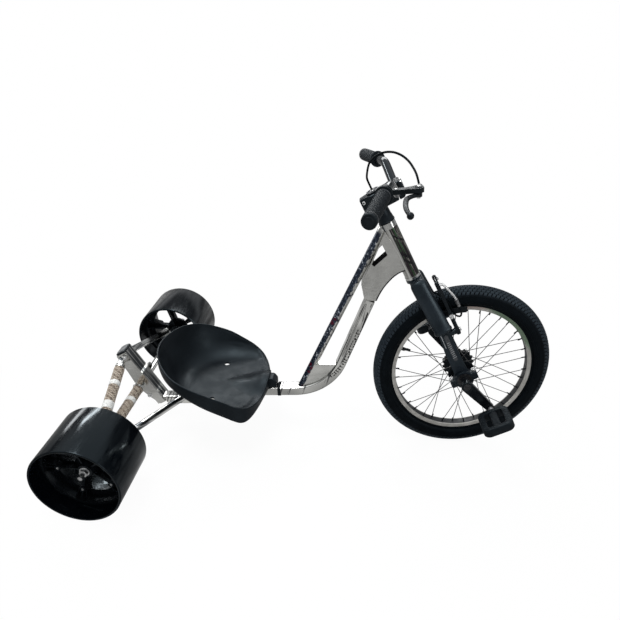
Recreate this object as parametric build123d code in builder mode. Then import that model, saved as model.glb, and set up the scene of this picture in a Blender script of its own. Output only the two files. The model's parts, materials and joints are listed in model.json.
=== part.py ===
"""Drift trike: a low three-wheeler with a 20 inch driven front wheel and two smooth plastic rear sleeves.

Frame: +X forward, +Y to the rider's left, +Z up, floor at z = 0, origin on the floor in the middle of
the length and width. All sizes are in millimetres.

The front end is drawn pointing straight ahead, and then stands turned by `parked_steer`, as it is parked.
The stem and handlebar stand turned by `parked_bar`.
"""

import os
from math import cos, pi, radians, sin, sqrt, tan

from build123d import *

# ---------------------------------------------------------------- overall sizes
wheelbase = 964
tyre_radius = 253
sleeve_radius = 114.5
sleeve_length = 180
sleeve_wall = 6
rear_half_track = 472  # centre plane to the outer face of a rear sleeve
steering_rake = 31  # lean of the head tube from vertical, degrees
parked_steer = 4  # the fork and front wheel rest turned this far to the left, degrees
parked_bar = 2  # the stem and handlebar are clamped on a little to the right of the fork
running_gap = 0.3  # between surfaces that turn on each other

front_axle_x = (wheelbase + tyre_radius + sleeve_radius) / 2 - tyre_radius
rear_axle_x = front_axle_x - wheelbase


def at(behind, height):
    """Point in the side view, given behind the front axle and above the floor."""
    return (front_axle_x - behind, height)


pieces = {}


def keep(builder, name):
    """Label a finished piece and keep it for export."""
    builder.part.label = name
    pieces[name] = builder.part


# ---------------------------------------------------------------- main tube, rear tube and top bar
frame_tube_width = 38
frame_tube_depth = 28
frame_tube_corner = 5
frame_tube_wall = 2
tail_slope = 5.8  # rise of the straight rear run of the frame, degrees
bend_corner = at(378, 148)
bend_radius = 160
down_tube_angle = 72
down_tube_top = 318  # length of the down tube above the bend's corner
main_tube_tail = 445  # length of the main tube behind the bend's corner

main_tail = (
    bend_corner[0] - main_tube_tail * cos(radians(tail_slope)),
    bend_corner[1] - main_tube_tail * sin(radians(tail_slope)),
)
main_head = (
    bend_corner[0] + down_tube_top * cos(radians(down_tube_angle)),
    bend_corner[1] + down_tube_top * sin(radians(down_tube_angle)),
)

with BuildLine(Plane.XZ) as main_path:
    FilletPolyline(main_tail, bend_corner, main_head, radius=bend_radius)

main_section_plane = Plane(origin=main_path.line @ 0, x_dir=(0, 1, 0), z_dir=main_path.line % 0)

with BuildPart() as main_envelope:
    with BuildSketch(main_section_plane):
        RectangleRounded(frame_tube_width, frame_tube_depth, frame_tube_corner)
    sweep(path=main_path.line)

with BuildPart() as main_tube:
    with BuildSketch(main_section_plane):
        RectangleRounded(frame_tube_width, frame_tube_depth, frame_tube_corner)
        RectangleRounded(
            frame_tube_width - 2 * frame_tube_wall,
            frame_tube_depth - 2 * frame_tube_wall,
            frame_tube_corner - frame_tube_wall,
            mode=Mode.SUBTRACT,
        )
    sweep(path=main_path.line)
keep(main_tube, "main_tube")

# The top bar runs from the top of the main tube's bend to the head tube.
top_bar_radius = 11.5
top_bar_wall = 1.8
top_bar_foot = at(467, 138)
top_bar_head = at(262, 648)
top_bar_direction = Vector(top_bar_head[0] - top_bar_foot[0], 0, top_bar_head[1] - top_bar_foot[1])
top_bar_plane = Plane(origin=(top_bar_foot[0], 0, top_bar_foot[1]), x_dir=(0, 1, 0), z_dir=top_bar_direction)

# ---------------------------------------------------------------- steering axis and head tube
axle_offset = 8.6  # the front axle stands this far ahead of the steering axis
rake = radians(steering_rake)
axis_up = Vector(-sin(rake), 0, cos(rake))
axis_ahead = Vector(cos(rake), 0, sin(rake))
front_hub = Vector(front_axle_x, 0, tyre_radius)
axis_foot = front_hub - axis_ahead * axle_offset
steering_axis = Axis(axis_foot, axis_up)


def steer_plane(along, ahead=0, y=0):
    """Plane square to the steering axis: local x points ahead, local y to the left."""
    origin = axis_foot + axis_up * along + axis_ahead * ahead + Vector(0, y, 0)
    return Plane(origin=origin, x_dir=axis_ahead, z_dir=axis_up)


def steer_point(ahead, y, along):
    """Point given ahead of the steering axis, to the left, and up along it from the axle."""
    return axis_foot + axis_ahead * ahead + Vector(0, y, 0) + axis_up * along


head_radius = 20
head_bore = 17
head_bottom = 326
head_top = 466
cup_height = 15
lower_cup_height = 7

with BuildPart() as head_tube:
    with BuildSketch(steer_plane(head_bottom)):
        Circle(head_radius)
        Circle(head_bore, mode=Mode.SUBTRACT)
    extrude(amount=head_top - head_bottom)
keep(head_tube, "head_tube")

with BuildPart() as headset_cups:
    with BuildSketch(steer_plane(head_top)):
        Circle(head_radius)
        Circle(head_bore, mode=Mode.SUBTRACT)
    extrude(amount=cup_height)
    with BuildSketch(steer_plane(head_bottom - lower_cup_height)):
        Circle(head_radius + 1)
        Circle(head_bore, mode=Mode.SUBTRACT)
    extrude(amount=lower_cup_height)
keep(headset_cups, "headset_cups")

with BuildPart() as head_envelope:
    with BuildSketch(steer_plane(head_bottom - 40)):
        Circle(head_radius)
    extrude(amount=head_top + cup_height + 80 - head_bottom)

with BuildPart() as top_bar_envelope:
    with BuildSketch(top_bar_plane):
        Circle(top_bar_radius)
    extrude(amount=top_bar_direction.length)
    add(head_envelope.part, mode=Mode.SUBTRACT)
    add(main_envelope.part, mode=Mode.SUBTRACT)
    with BuildSketch(steer_plane(head_top + cup_height - 1.5)):
        Circle(60)
    extrude(amount=60, mode=Mode.SUBTRACT)

with BuildPart() as top_bar:
    add(top_bar_envelope.part)
    with BuildSketch(top_bar_plane):
        Circle(top_bar_radius - top_bar_wall)
    extrude(amount=top_bar_direction.length, mode=Mode.SUBTRACT)
keep(top_bar, "top_bar")

# ---------------------------------------------------------------- neck box and lower gusset
neck_width = 34
window_rim = 5

with BuildPart() as neck:
    with BuildSketch(Plane.XZ):
        with BuildLine():
            Polyline(at(307, 497), at(258, 640), at(176, 526), at(196, 544))
            Spline(
                at(196, 544),
                at(224, 524),
                at(247, 492),
                at(264, 452),
                tangents=[(-1, -0.35), (-0.32, -1)],
            )
            Polyline(at(264, 452), at(295, 452), at(307, 497))
        make_face()
        with BuildLine():
            Polyline(at(270, 597), at(284, 553), at(277, 548), at(246, 581), at(262, 606), close=True)
        make_face(mode=Mode.SUBTRACT)
    extrude(amount=neck_width / 2, both=True)
    for solid in (head_envelope, top_bar_envelope, main_envelope):
        add(solid.part, mode=Mode.SUBTRACT)
keep(neck, "neck_box")

gusset_width = 22
with BuildPart() as gusset:
    with BuildSketch(Plane.XZ):
        with BuildLine():
            Polyline(at(470, 130), at(427, 234), at(355, 240), at(380, 170), at(470, 130))
        make_face()
    extrude(amount=gusset_width / 2, both=True)
    for solid in (top_bar_envelope, main_envelope):
        add(solid.part, mode=Mode.SUBTRACT)
keep(gusset, "lower_gusset")

# ---------------------------------------------------------------- rear tube and post
rear_tube_front = 640  # its front end, behind the front axle
rear_tube_tail = 915
tail_up = Vector(-sin(radians(tail_slope)), 0, cos(radians(tail_slope)))
tail_ahead = Vector(cos(radians(tail_slope)), 0, sin(radians(tail_slope)))


def on_tail(behind, above=0):
    """Point on the centre line of the main tube's straight rear run, moved square to it."""
    run = behind - (front_axle_x - bend_corner[0])
    start = Vector(bend_corner[0], 0, bend_corner[1])
    return start - tail_ahead * (run / cos(radians(tail_slope))) + tail_up * above


post_foot = at(929, 104)
post_front = 16
post_back = 14
post_bottom = -52
post_top = 143
post_width = 39
post_wall = 2.5
plate_thickness = 5
post_origin = Vector(post_foot[0], 0, post_foot[1])
post_half = post_width / 2 + plate_thickness


def post_plane(along):
    """Plane square to the leaning rear post: local x ahead, local y to the left."""
    return Plane(origin=post_origin + axis_up * along, x_dir=axis_ahead, z_dir=axis_up)


post_middle = (post_front - post_back) / 2
post_depth = post_front + post_back

with BuildPart() as rear_post:
    with BuildSketch(post_plane(post_bottom)):
        with Locations((post_middle, 0)):
            Rectangle(post_depth, post_width)
            Rectangle(post_depth - 2 * post_wall, post_width - 2 * post_wall, mode=Mode.SUBTRACT)
    extrude(amount=post_top - post_bottom)
keep(rear_post, "rear_post")

cap_rim = 4
cap_dome = 7
with BuildPart() as post_cap:
    with BuildSketch(post_plane(post_top)):
        with Locations((post_middle, 0)):
            Rectangle(post_depth + 1, post_width + 2 * plate_thickness + 1)
    extrude(amount=cap_rim + cap_dome)
    top_edges = post_cap.faces().sort_by(steering_axis)[-1].edges()
    fillet(top_edges, cap_dome)
keep(post_cap, "post_cap")

with BuildPart() as rear_tube:
    with BuildSketch(Plane(origin=on_tail(rear_tube_tail, -frame_tube_depth), x_dir=(0, 1, 0), z_dir=tail_ahead)):
        RectangleRounded(frame_tube_width, frame_tube_depth, frame_tube_corner)
        RectangleRounded(
            frame_tube_width - 2 * frame_tube_wall,
            frame_tube_depth - 2 * frame_tube_wall,
            frame_tube_corner - frame_tube_wall,
            mode=Mode.SUBTRACT,
        )
    extrude(amount=(rear_tube_tail - rear_tube_front) / cos(radians(tail_slope)))
    with BuildSketch(post_plane(post_bottom - 30)):
        with Locations((post_front - 50, 0)):
            Rectangle(100, 80)
    extrude(amount=post_top - post_bottom, mode=Mode.SUBTRACT)
keep(rear_tube, "rear_tube")

# ---------------------------------------------------------------- rear axle, end plates, struts, stays
axle_height = sleeve_radius
frame_pipe_radius = 10
frame_pipe_wall = 2
axle_shaft_radius = 7
axle_stub_radius = 6
end_plate_inner = 281
end_plate_thickness = 6
end_plate_outer = end_plate_inner + end_plate_thickness
axle_centre = Vector(rear_axle_x, 0, axle_height)

with BuildPart() as side_plates:
    for side in (1, -1):
        with BuildSketch(Plane(origin=post_origin + Vector(0, side * post_width / 2, 0),
                               x_dir=axis_ahead, z_dir=(0, -1, 0))):
            with BuildLine():
                Polyline((post_front, post_bottom), (post_front, post_top), (-post_back - 3, post_top),
                         (-21, 88), (-27, 44), (-24, 10), (-15, -22), (-3, post_bottom), close=True)
            make_face()
        extrude(amount=-side * plate_thickness)
        with BuildSketch(Plane(origin=axle_centre, x_dir=(1, 0, 0), z_dir=(0, -1, 0))):
            Circle(frame_pipe_radius)
        extrude(amount=60, both=True, mode=Mode.SUBTRACT)
keep(side_plates, "post_side_plates")

with BuildPart() as axle_tube:
    with BuildSketch(Plane(origin=axle_centre, x_dir=(1, 0, 0), z_dir=(0, -1, 0))):
        Circle(frame_pipe_radius)
        Circle(frame_pipe_radius - frame_pipe_wall, mode=Mode.SUBTRACT)
    extrude(amount=end_plate_inner, both=True)
keep(axle_tube, "rear_axle_tube")

strut_inner = at(1001, 210)
strut_outer = at(972, 147)
stay_inner = (on_tail(808).X, on_tail(808).Z)
stay_outer = at(951, 97)


def slanted_pipe(inner, outer, inner_y, outer_y, side, radius, wall):
    """Pipe from one side-view point at inner_y to another at outer_y, cut square to Y at both ends."""
    start = Vector(inner[0], side * inner_y, inner[1])
    end = Vector(outer[0], side * outer_y, outer[1])
    run = (end - start).normalized()
    overrun = 2 * radius
    with BuildPart() as pipe:
        with BuildSketch(Plane(origin=start - run * overrun, z_dir=run)):
            Circle(radius)
            Circle(radius - wall, mode=Mode.SUBTRACT)
        extrude(amount=(end - start).length + 2 * overrun)
        split(bisect_by=Plane(origin=(0, side * inner_y, 0), z_dir=(0, side, 0)), keep=Keep.TOP)
        split(bisect_by=Plane(origin=(0, side * outer_y, 0), z_dir=(0, side, 0)), keep=Keep.BOTTOM)
    return pipe


def along_pipe(inner, outer, inner_y, outer_y, y):
    """Side-view point where the line between the two given ends passes this y."""
    share = (y - inner_y) / (outer_y - inner_y)
    return (inner[0] + (outer[0] - inner[0]) * share, inner[1] + (outer[1] - inner[1]) * share)


with BuildPart() as struts:
    for side in (1, -1):
        strut = slanted_pipe(strut_inner, strut_outer, post_half, end_plate_inner, side,
                             frame_pipe_radius, frame_pipe_wall)
        add(strut.part)
keep(struts, "rear_struts")

with BuildPart() as stays:
    for side in (1, -1):
        stay = slanted_pipe(stay_inner, stay_outer, frame_tube_width / 2, end_plate_inner, side,
                            frame_pipe_radius, frame_pipe_wall)
        add(stay.part)
keep(stays, "rear_stays")

with BuildPart() as end_plates:
    for side in (1, -1):
        with BuildSketch(Plane(origin=(0, side * end_plate_inner, 0), x_dir=(1, 0, 0), z_dir=(0, -1, 0))):
            for spot in ((rear_axle_x, axle_height), strut_outer, stay_outer):
                with Locations(spot):
                    Circle(13)
            make_hull()
            with Locations((rear_axle_x, axle_height)):
                Circle(axle_shaft_radius, mode=Mode.SUBTRACT)
        extrude(amount=-side * end_plate_thickness)
keep(end_plates, "axle_end_plates")

# Braided covers on the right half of the axle tube and on the right strut.
cover_thickness = 5
axle_cover_start = 39
strut_cover_start = 62
axle_cover_end = end_plate_inner - 35  # the stays meet the end plate close to the axle tube
cover_end = end_plate_inner - 8
strut_ends = (strut_inner, strut_outer, post_half, end_plate_inner)
strut_cover = slanted_pipe(along_pipe(*strut_ends, strut_cover_start), along_pipe(*strut_ends, cover_end),
                           strut_cover_start, cover_end, -1, frame_pipe_radius + cover_thickness, cover_thickness)
with BuildPart() as covers:
    with BuildSketch(Plane(origin=axle_centre + Vector(0, -axle_cover_start, 0), x_dir=(1, 0, 0), z_dir=(0, -1, 0))):
        Circle(frame_pipe_radius + cover_thickness)
        Circle(frame_pipe_radius, mode=Mode.SUBTRACT)
    extrude(amount=axle_cover_end - axle_cover_start)
    add(strut_cover.part)
keep(covers, "braided_covers")

# Split clamps hold the axle tube beside the post.
clamp_radius = 16
clamp_length = 14
with BuildPart() as axle_clamps:
    for side in (1, -1):
        with BuildSketch(Plane(origin=axle_centre + Vector(0, side * post_half, 0), x_dir=(1, 0, 0), z_dir=(0, side, 0))):
            Circle(clamp_radius)
            Circle(frame_pipe_radius, mode=Mode.SUBTRACT)
        extrude(amount=clamp_length)
keep(axle_clamps, "axle_clamps")

# A strap crosses the front of the post and reaches down to the two clamps.
strap_thickness = 4
strap_width = 8
strap_half = post_half + clamp_length - strap_thickness
strap_along = 66
with BuildPart() as axle_strap:
    with BuildSketch(Plane(origin=post_origin, x_dir=axis_ahead, z_dir=(0, -1, 0))):
        with BuildLine():
            Polyline((post_front, strap_along), (post_front + strap_width, strap_along),
                     (post_front + strap_width, strap_along - strap_thickness),
                     (post_front, strap_along - strap_thickness), close=True)
        make_face()
    extrude(amount=strap_half, both=True)
    for side in (1, -1):
        with BuildSketch(Plane(origin=post_origin + Vector(0, side * (strap_half - strap_thickness), 0),
                               x_dir=axis_ahead, z_dir=(0, -1, 0))):
            with BuildLine():
                Polyline((post_front, strap_along), (post_front + strap_width, strap_along),
                         (post_front + strap_width, strap_along - 14), (-20, 24), (-30, 34), close=True)
            make_face()
        extrude(amount=-side * strap_thickness)
    add(axle_clamps.part, mode=Mode.SUBTRACT)
    with BuildSketch(Plane(origin=axle_centre, x_dir=(1, 0, 0), z_dir=(0, -1, 0))):
        Circle(clamp_radius)
    extrude(amount=post_half + clamp_length, both=True, mode=Mode.SUBTRACT)
keep(axle_strap, "axle_strap")

# ---------------------------------------------------------------- rear wheels and axle shaft
wheel_middle = rear_half_track - sleeve_length / 2
core_width = 70
core_band = 5
core_web = 8
core_boss_radius = 18
core_boss_length = 60
core_spokes = 5
core_window_inner = 36
core_window_outer = 88
core_rib_width = 16
nut_height = 10
nut_across = 19
axle_stub = 18  # threaded end beyond the nut
spacer_radius = 9
shaft_half = wheel_middle + core_boss_length / 2 + running_gap + nut_height + axle_stub

with BuildPart() as axle_shaft:
    with BuildSketch(Plane(origin=axle_centre, x_dir=(1, 0, 0), z_dir=(0, -1, 0))):
        Circle(axle_stub_radius)
    extrude(amount=shaft_half, both=True)
    with BuildSketch(Plane(origin=axle_centre, x_dir=(1, 0, 0), z_dir=(0, -1, 0))):
        Circle(axle_shaft_radius)
    extrude(amount=shaft_half - axle_stub, both=True)
keep(axle_shaft, "rear_axle_shaft")

with BuildPart() as axle_hardware:
    for side in (1, -1):
        inner = end_plate_outer
        with BuildSketch(Plane(origin=axle_centre + Vector(0, side * inner, 0), x_dir=(1, 0, 0), z_dir=(0, side, 0))):
            Circle(spacer_radius)
            Circle(axle_shaft_radius, mode=Mode.SUBTRACT)
        extrude(amount=wheel_middle - core_boss_length / 2 - running_gap - inner)
        nut_face = wheel_middle + core_boss_length / 2 + running_gap
        with BuildSketch(Plane(origin=axle_centre + Vector(0, side * nut_face, 0), x_dir=(1, 0, 0), z_dir=(0, side, 0))):
            RegularPolygon(nut_across / 2, 6, major_radius=False)
            Circle(axle_shaft_radius, mode=Mode.SUBTRACT)
        extrude(amount=nut_height)
keep(axle_hardware, "axle_spacers_and_nuts")

for side, hand in ((1, "left"), (-1, "right")):
    middle = axle_centre + Vector(0, side * wheel_middle, 0)
    wheel_plane = Plane(origin=middle, x_dir=(1, 0, 0), z_dir=(0, side, 0))
    with BuildPart() as sleeve:
        with BuildSketch(wheel_plane):
            Circle(sleeve_radius)
            Circle(sleeve_radius - sleeve_wall, mode=Mode.SUBTRACT)
        extrude(amount=sleeve_length / 2, both=True)
    keep(sleeve, f"rear_sleeve_{hand}")
    core_radius = sleeve_radius - sleeve_wall
    with BuildPart() as core:
        with BuildSketch(wheel_plane):
            Circle(core_radius)
            Circle(core_radius - core_band, mode=Mode.SUBTRACT)
        extrude(amount=core_width / 2, both=True)
        with BuildSketch(wheel_plane):
            Circle(core_radius)
            with PolarLocations(0, core_spokes):
                with BuildSketch(mode=Mode.PRIVATE) as window:
                    with BuildLine():
                        half = 360 / core_spokes / 2 - 11
                        inner_arc = CenterArc((0, 0), core_window_inner, -half - 2, 2 * half + 4)
                        outer_arc = CenterArc((0, 0), core_window_outer, -half - 2, 2 * half + 4)
                        Line(inner_arc @ 0, outer_arc @ 0)
                        Line(inner_arc @ 1, outer_arc @ 1)
                    make_face()
                add(window.sketch, mode=Mode.SUBTRACT)
        extrude(amount=core_web / 2, both=True)
        with BuildSketch(wheel_plane):
            Circle(core_boss_radius)
        extrude(amount=core_boss_length / 2, both=True)
        with BuildSketch(wheel_plane):
            with PolarLocations(0, core_spokes, start_angle=180 / core_spokes):
                with Locations(((core_boss_radius + core_radius) / 2, 0)):
                    Rectangle(core_radius - core_boss_radius, core_rib_width / 4)
        extrude(amount=core_boss_length / 2 - 6, both=True)
        with BuildSketch(wheel_plane):
            Circle(axle_shaft_radius + running_gap)
        extrude(amount=core_boss_length, both=True, mode=Mode.SUBTRACT)
    keep(core, f"rear_wheel_core_{hand}")

# ---------------------------------------------------------------- seat
seat_floor = 141  # underside of the seat pan
seat_wall = 5
seat_centre_behind = 715
seat_levels = {
    seat_floor: [(563, 0), (574, 80), (592, 132), (618, 156), (665, 150), (725, 140), (782, 115), (818, 66), (830, 0)],
    182: [(559, 0), (570, 90), (592, 150), (620, 178), (668, 180), (732, 172), (795, 143), (838, 84), (852, 0)],
    228: [(557, 0), (568, 92), (592, 158), (622, 186), (668, 197), (735, 192), (805, 164), (856, 96), (874, 0)],
    275: [(557, 0), (568, 92), (592, 160), (622, 187), (668, 198), (740, 198), (814, 172), (868, 92), (889, 0)],
}
seat_rim = [(540, 151), (585, 152), (610, 165), (656, 191), (713, 217), (772, 237), (830, 257), (862, 266), (900, 268)]
seat_hem = [(530, 162), (557, 150), (575, 130), (597, 114), (617, 116), (638, 131), (727, 178), (804, 217), (837, 229),
            (900, 262)]
hole_behind = 716
hole_half_spacing = 100
hole_radius = 6
nose_half = 20


def seat_outline(points, inset):
    """Closed smooth outline through the points and their mirror images, drawn inward by inset."""
    half = []
    for behind, y in points:
        reach = sqrt((behind - seat_centre_behind) ** 2 + y**2)
        share = 1 - inset / reach
        half.append((front_axle_x - seat_centre_behind - (behind - seat_centre_behind) * share, y * share))
    other = [(x, -y) for x, y in half[-2:0:-1]]
    return Spline(*half, *other, periodic=True)


# The pan rises along its middle to a rounded pommel between the rider's legs.
with BuildPart() as pommel:
    for behind, rise, half_width in ((690, 2, 24), (628, 17, 62), (556, 48, 108)):
        with BuildSketch(Plane(origin=(front_axle_x - behind, 0, seat_floor + 1), x_dir=(0, 1, 0), z_dir=(1, 0, 0))):
            with BuildLine():
                Spline((-half_width, 0), (-half_width * 0.5, rise * 0.55), (0, rise),
                       (half_width * 0.5, rise * 0.55), (half_width, 0))
                Line((half_width, 0), (-half_width, 0))
            make_face()
    loft()
    with BuildSketch(Plane.XY.offset(seat_floor)):
        with BuildLine():
            seat_outline(seat_levels[228], 2)
        make_face()
    extrude(amount=100, mode=Mode.INTERSECT)


def between(value, pairs):
    """Straight-line value between the two pairs that enclose the given one."""
    for (low, start), (high, end) in zip(pairs, pairs[1:]):
        if value <= high:
            break
    return start + (end - start) * (value - low) / (high - low)


def rim_outline():
    """Half of the rim seen from above: where each line up the shell meets the slope of the rim."""
    points = []
    for step in range(len(seat_levels[seat_floor])):
        behind = seat_levels[228][step][0]
        for _ in range(20):
            height = between(behind, seat_rim)
            behind = between(height, [(level, line[step][0]) for level, line in seat_levels.items()])
        points.append((behind, between(height, [(level, line[step][1]) for level, line in seat_levels.items()])))
    return points


# A skirt hangs from the rim, deepest at the two front corners.
with BuildPart() as skirt:
    with BuildSketch(Plane.XY.offset(105)):
        with BuildLine():
            seat_outline(rim_outline(), 0.3)
        make_face()
        with BuildLine():
            seat_outline(rim_outline(), 4.8)
        make_face(mode=Mode.SUBTRACT)
    extrude(amount=270 - 105)
    with BuildSketch(Plane.XZ):
        with BuildLine():
            hem = Spline(*[at(*point) for point in seat_hem])
            Polyline(hem @ 1, hem @ 1 + Vector(0, -200), hem @ 0 + Vector(0, -200), hem @ 0)
        make_face()
    extrude(amount=300, both=True, mode=Mode.SUBTRACT)

with BuildPart() as seat:
    for height, points in seat_levels.items():
        with BuildSketch(Plane.XY.offset(height)):
            with BuildLine():
                seat_outline(points, 0)
            make_face()
    loft()
    for height, points in seat_levels.items():
        with BuildSketch(Plane.XY.offset(height + (seat_wall if height == seat_floor else 0.01))):
            with BuildLine():
                seat_outline(points, seat_wall)
            make_face()
    loft(mode=Mode.SUBTRACT)
    add(skirt.part)
    with BuildSketch(Plane.XZ):
        with BuildLine():
            rim = Spline(*[at(*point) for point in seat_rim])
            Polyline(rim @ 1, rim @ 1 + Vector(0, 60), rim @ 0 + Vector(0, 180), rim @ 0)
        make_face()
    extrude(amount=300, both=True, mode=Mode.SUBTRACT)
    add(pommel.part)
    with BuildSketch(Plane.XZ):
        with BuildLine():
            Polyline(at(580, 150), at(566, 184), at(546, 180), at(536, 168), at(537, 146.5), at(580, 146.5),
                     close=True)
        make_face()
    extrude(amount=nose_half, both=True)
    with BuildSketch(Plane.XY.offset(seat_floor)):
        with Locations((front_axle_x - hole_behind, hole_half_spacing), (front_axle_x - hole_behind, -hole_half_spacing)):
            Circle(hole_radius)
    extrude(amount=2 * seat_wall, mode=Mode.SUBTRACT)
    add(main_envelope.part, mode=Mode.SUBTRACT)
keep(seat, "bucket_seat")

bracket_half = 28
bracket_wall = 3
with BuildPart() as seat_bracket:
    with BuildSketch(Plane.XZ):
        with BuildLine():
            Polyline(at(650, seat_floor), at(785, seat_floor), at(785, 110), at(650, 110), close=True)
        make_face()
    extrude(amount=bracket_half, both=True)
    add(main_envelope.part, mode=Mode.SUBTRACT)
    with BuildSketch(Plane.XZ):
        with BuildLine():
            Polyline(at(640, 60), at(640, on_tail(640).Z), at(795, on_tail(795).Z), at(795, 60), close=True)
        make_face()
    extrude(amount=2 * bracket_half, both=True, mode=Mode.SUBTRACT)
    with BuildSketch(Plane.XZ):
        with BuildLine():
            Polyline(at(640, seat_floor - bracket_wall), at(640, 60), at(795, 60), at(795, seat_floor - bracket_wall),
                     close=True)
        make_face()
    extrude(amount=bracket_half - bracket_wall, both=True, mode=Mode.SUBTRACT)
keep(seat_bracket, "seat_bracket")

strap_behind = 530
band_thickness = 1.6
band_width = 9
with BuildPart() as seat_band:
    with BuildSketch(Plane(origin=on_tail(strap_behind + band_width / 2), x_dir=(0, 1, 0), z_dir=tail_ahead)):
        RectangleRounded(frame_tube_width + 2 * band_thickness, frame_tube_depth + 2 * band_thickness, frame_tube_corner + band_thickness)
        RectangleRounded(frame_tube_width, frame_tube_depth, frame_tube_corner, mode=Mode.SUBTRACT)
    extrude(amount=band_width)
keep(seat_band, "seat_band")

# ---------------------------------------------------------------- front end, drawn straight ahead

def keep_front(builder, name, turn=parked_steer):
    """Label a finished piece of the front end and turn it to where the steering is parked."""
    turned = builder.part.rotate(steering_axis, turn)
    turned.label = name
    pieces[name] = turned


def bar_point(ahead, y, along):
    """Point of the steering frame that turns with the handlebar, seen from the fork's frame."""
    turn = radians(parked_bar - parked_steer)
    return steer_point(ahead * cos(turn) - y * sin(turn), ahead * sin(turn) + y * cos(turn), along)


side_view = Plane(origin=axis_foot, x_dir=axis_ahead, z_dir=(0, -1, 0))  # local x ahead, local y up the axis
front_view = Plane(origin=axis_foot, x_dir=(0, 1, 0), z_dir=axis_ahead)  # local x left, local y up the axis
across = Axis(front_hub, (0, 1, 0))
wheel_section = Plane(origin=front_hub, x_dir=(0, 1, 0), z_dir=(1, 0, 0))  # local x left, local y outward

# ---------------------------------------------------------------- steerer, headset cover and stem
steerer_radius = 14.3
steerer_wall = 2
crown_top = head_bottom - lower_cup_height - running_gap
crown_bottom = 278
stem_bottom = 520
stem_height = 42
stem_top = stem_bottom + stem_height
stem_back = -38
stem_waist = -10  # behind this the stem narrows towards its pinch bolts
stem_reach = 51
stem_half_width = 24
stem_back_half = 12
stem_cap_height = 5
cable_radius = 2.5
bar_radius = 11.1
bar_height = 541  # the bar's middle, along the steering axis

with BuildPart() as steerer:
    with BuildSketch(steer_plane(crown_bottom)):
        Circle(steerer_radius)
        Circle(steerer_radius - steerer_wall, mode=Mode.SUBTRACT)
    extrude(amount=stem_top - crown_bottom)
    with BuildSketch(steer_plane(stem_top)):
        Circle(steerer_radius + 2.5)
        Circle(cable_radius, mode=Mode.SUBTRACT)
    extrude(amount=stem_cap_height)
keep_front(steerer, "steerer_tube")

cover_bottom = head_top + cup_height + running_gap
with BuildPart() as headset_cover:
    with BuildSketch(side_view):
        with BuildLine():
            Polyline((steerer_radius, cover_bottom), (21, cover_bottom), (21, cover_bottom + 4), (17, 502),
                     (17, stem_bottom), (steerer_radius, stem_bottom), close=True)
        make_face()
    revolve(axis=steering_axis)
keep_front(headset_cover, "headset_cover")

bar_start = 40
bar_rise_point = Vector(50, 131, 586.6)
bar_end_point = Vector(-2.3, 346.8, 592.8)
bar_wall = 2
bar_points = []
for side, points in ((-1, (bar_end_point, bar_rise_point)), (1, (bar_rise_point, bar_end_point))):
    for point in points:
        bar_points.append(steer_point(point.X, side * point.Y, point.Z))
    if side == -1:
        bar_points.append(steer_point(stem_reach, -bar_start, bar_height))
        bar_points.append(steer_point(stem_reach, bar_start, bar_height))

with BuildLine() as bar_path:
    FilletPolyline(*bar_points, radius=75)

with BuildPart() as bar_hole:
    with BuildSketch(Plane(origin=bar_path.line @ 0, z_dir=bar_path.line % 0)):
        Circle(bar_radius)
    sweep(path=bar_path.line)

with BuildPart() as handlebar:
    with BuildSketch(Plane(origin=bar_path.line @ 0, z_dir=bar_path.line % 0)):
        Circle(bar_radius)
        Circle(bar_radius - bar_wall, mode=Mode.SUBTRACT)
    sweep(path=bar_path.line)
keep_front(handlebar, "handlebar", parked_bar)

with BuildPart() as steerer_hole:
    with BuildSketch(steer_plane(crown_bottom - 60)):
        Circle(steerer_radius)
    extrude(amount=stem_top + 100 - crown_bottom)

with BuildPart() as stem:
    with BuildSketch(steer_plane(stem_bottom)):
        with BuildLine():
            Polyline((stem_back, -stem_back_half), (stem_waist, -stem_half_width), (stem_reach, -stem_half_width),
                     (stem_reach, stem_half_width), (stem_waist, stem_half_width), (stem_back, stem_back_half),
                     close=True)
        make_face()
    extrude(amount=stem_height)
    add(steerer_hole.part, mode=Mode.SUBTRACT)
    add(bar_hole.part, mode=Mode.SUBTRACT)
    with BuildSketch(side_view):
        with Locations((stem_back - 1, (stem_bottom + stem_top) / 2)):
            Rectangle(2 * (stem_back + steerer_radius + 1) * -1, stem_height + 2)
    extrude(amount=1.5, both=True, mode=Mode.SUBTRACT)
keep_front(stem, "stem", parked_bar)

face_gap = 1.5
face_thickness = 21
with BuildPart() as face_plate:
    with BuildSketch(side_view):
        with BuildLine():
            Polyline((stem_reach + face_gap, stem_bottom), (stem_reach + face_thickness - 7, stem_bottom),
                     (stem_reach + face_thickness, stem_bottom + 8), (stem_reach + face_thickness, stem_top - 8),
                     (stem_reach + face_thickness - 7, stem_top), (stem_reach + face_gap, stem_top), close=True)
        make_face()
    extrude(amount=stem_half_width, both=True)
    add(bar_hole.part, mode=Mode.SUBTRACT)
keep_front(face_plate, "stem_face_plate", parked_bar)

# ---------------------------------------------------------------- grips and brake lever
grip_radius = 16.5
grip_start = 150  # length of a grip with its end cap, measured along the bar from the bar's end
grip_flange_radius = 20.5
grip_flange = 5
grip_cap = 5
with BuildPart() as grips:
    for end, inward in ((bar_path.line @ 0, bar_path.line % 0), (bar_path.line @ 1, -(bar_path.line % 1))):
        with BuildSketch(Plane(origin=end - inward * grip_cap, z_dir=inward)):
            Circle(grip_radius)
        extrude(amount=grip_cap)
        with BuildSketch(Plane(origin=end, z_dir=inward)):
            Circle(grip_radius)
            Circle(bar_radius, mode=Mode.SUBTRACT)
        extrude(amount=grip_start)
        with BuildSketch(Plane(origin=end + inward * (grip_start - grip_flange), z_dir=inward)):
            Circle(grip_flange_radius)
            Circle(grip_radius, mode=Mode.SUBTRACT)
        extrude(amount=grip_flange)
keep_front(grips, "grips", parked_bar)

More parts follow.
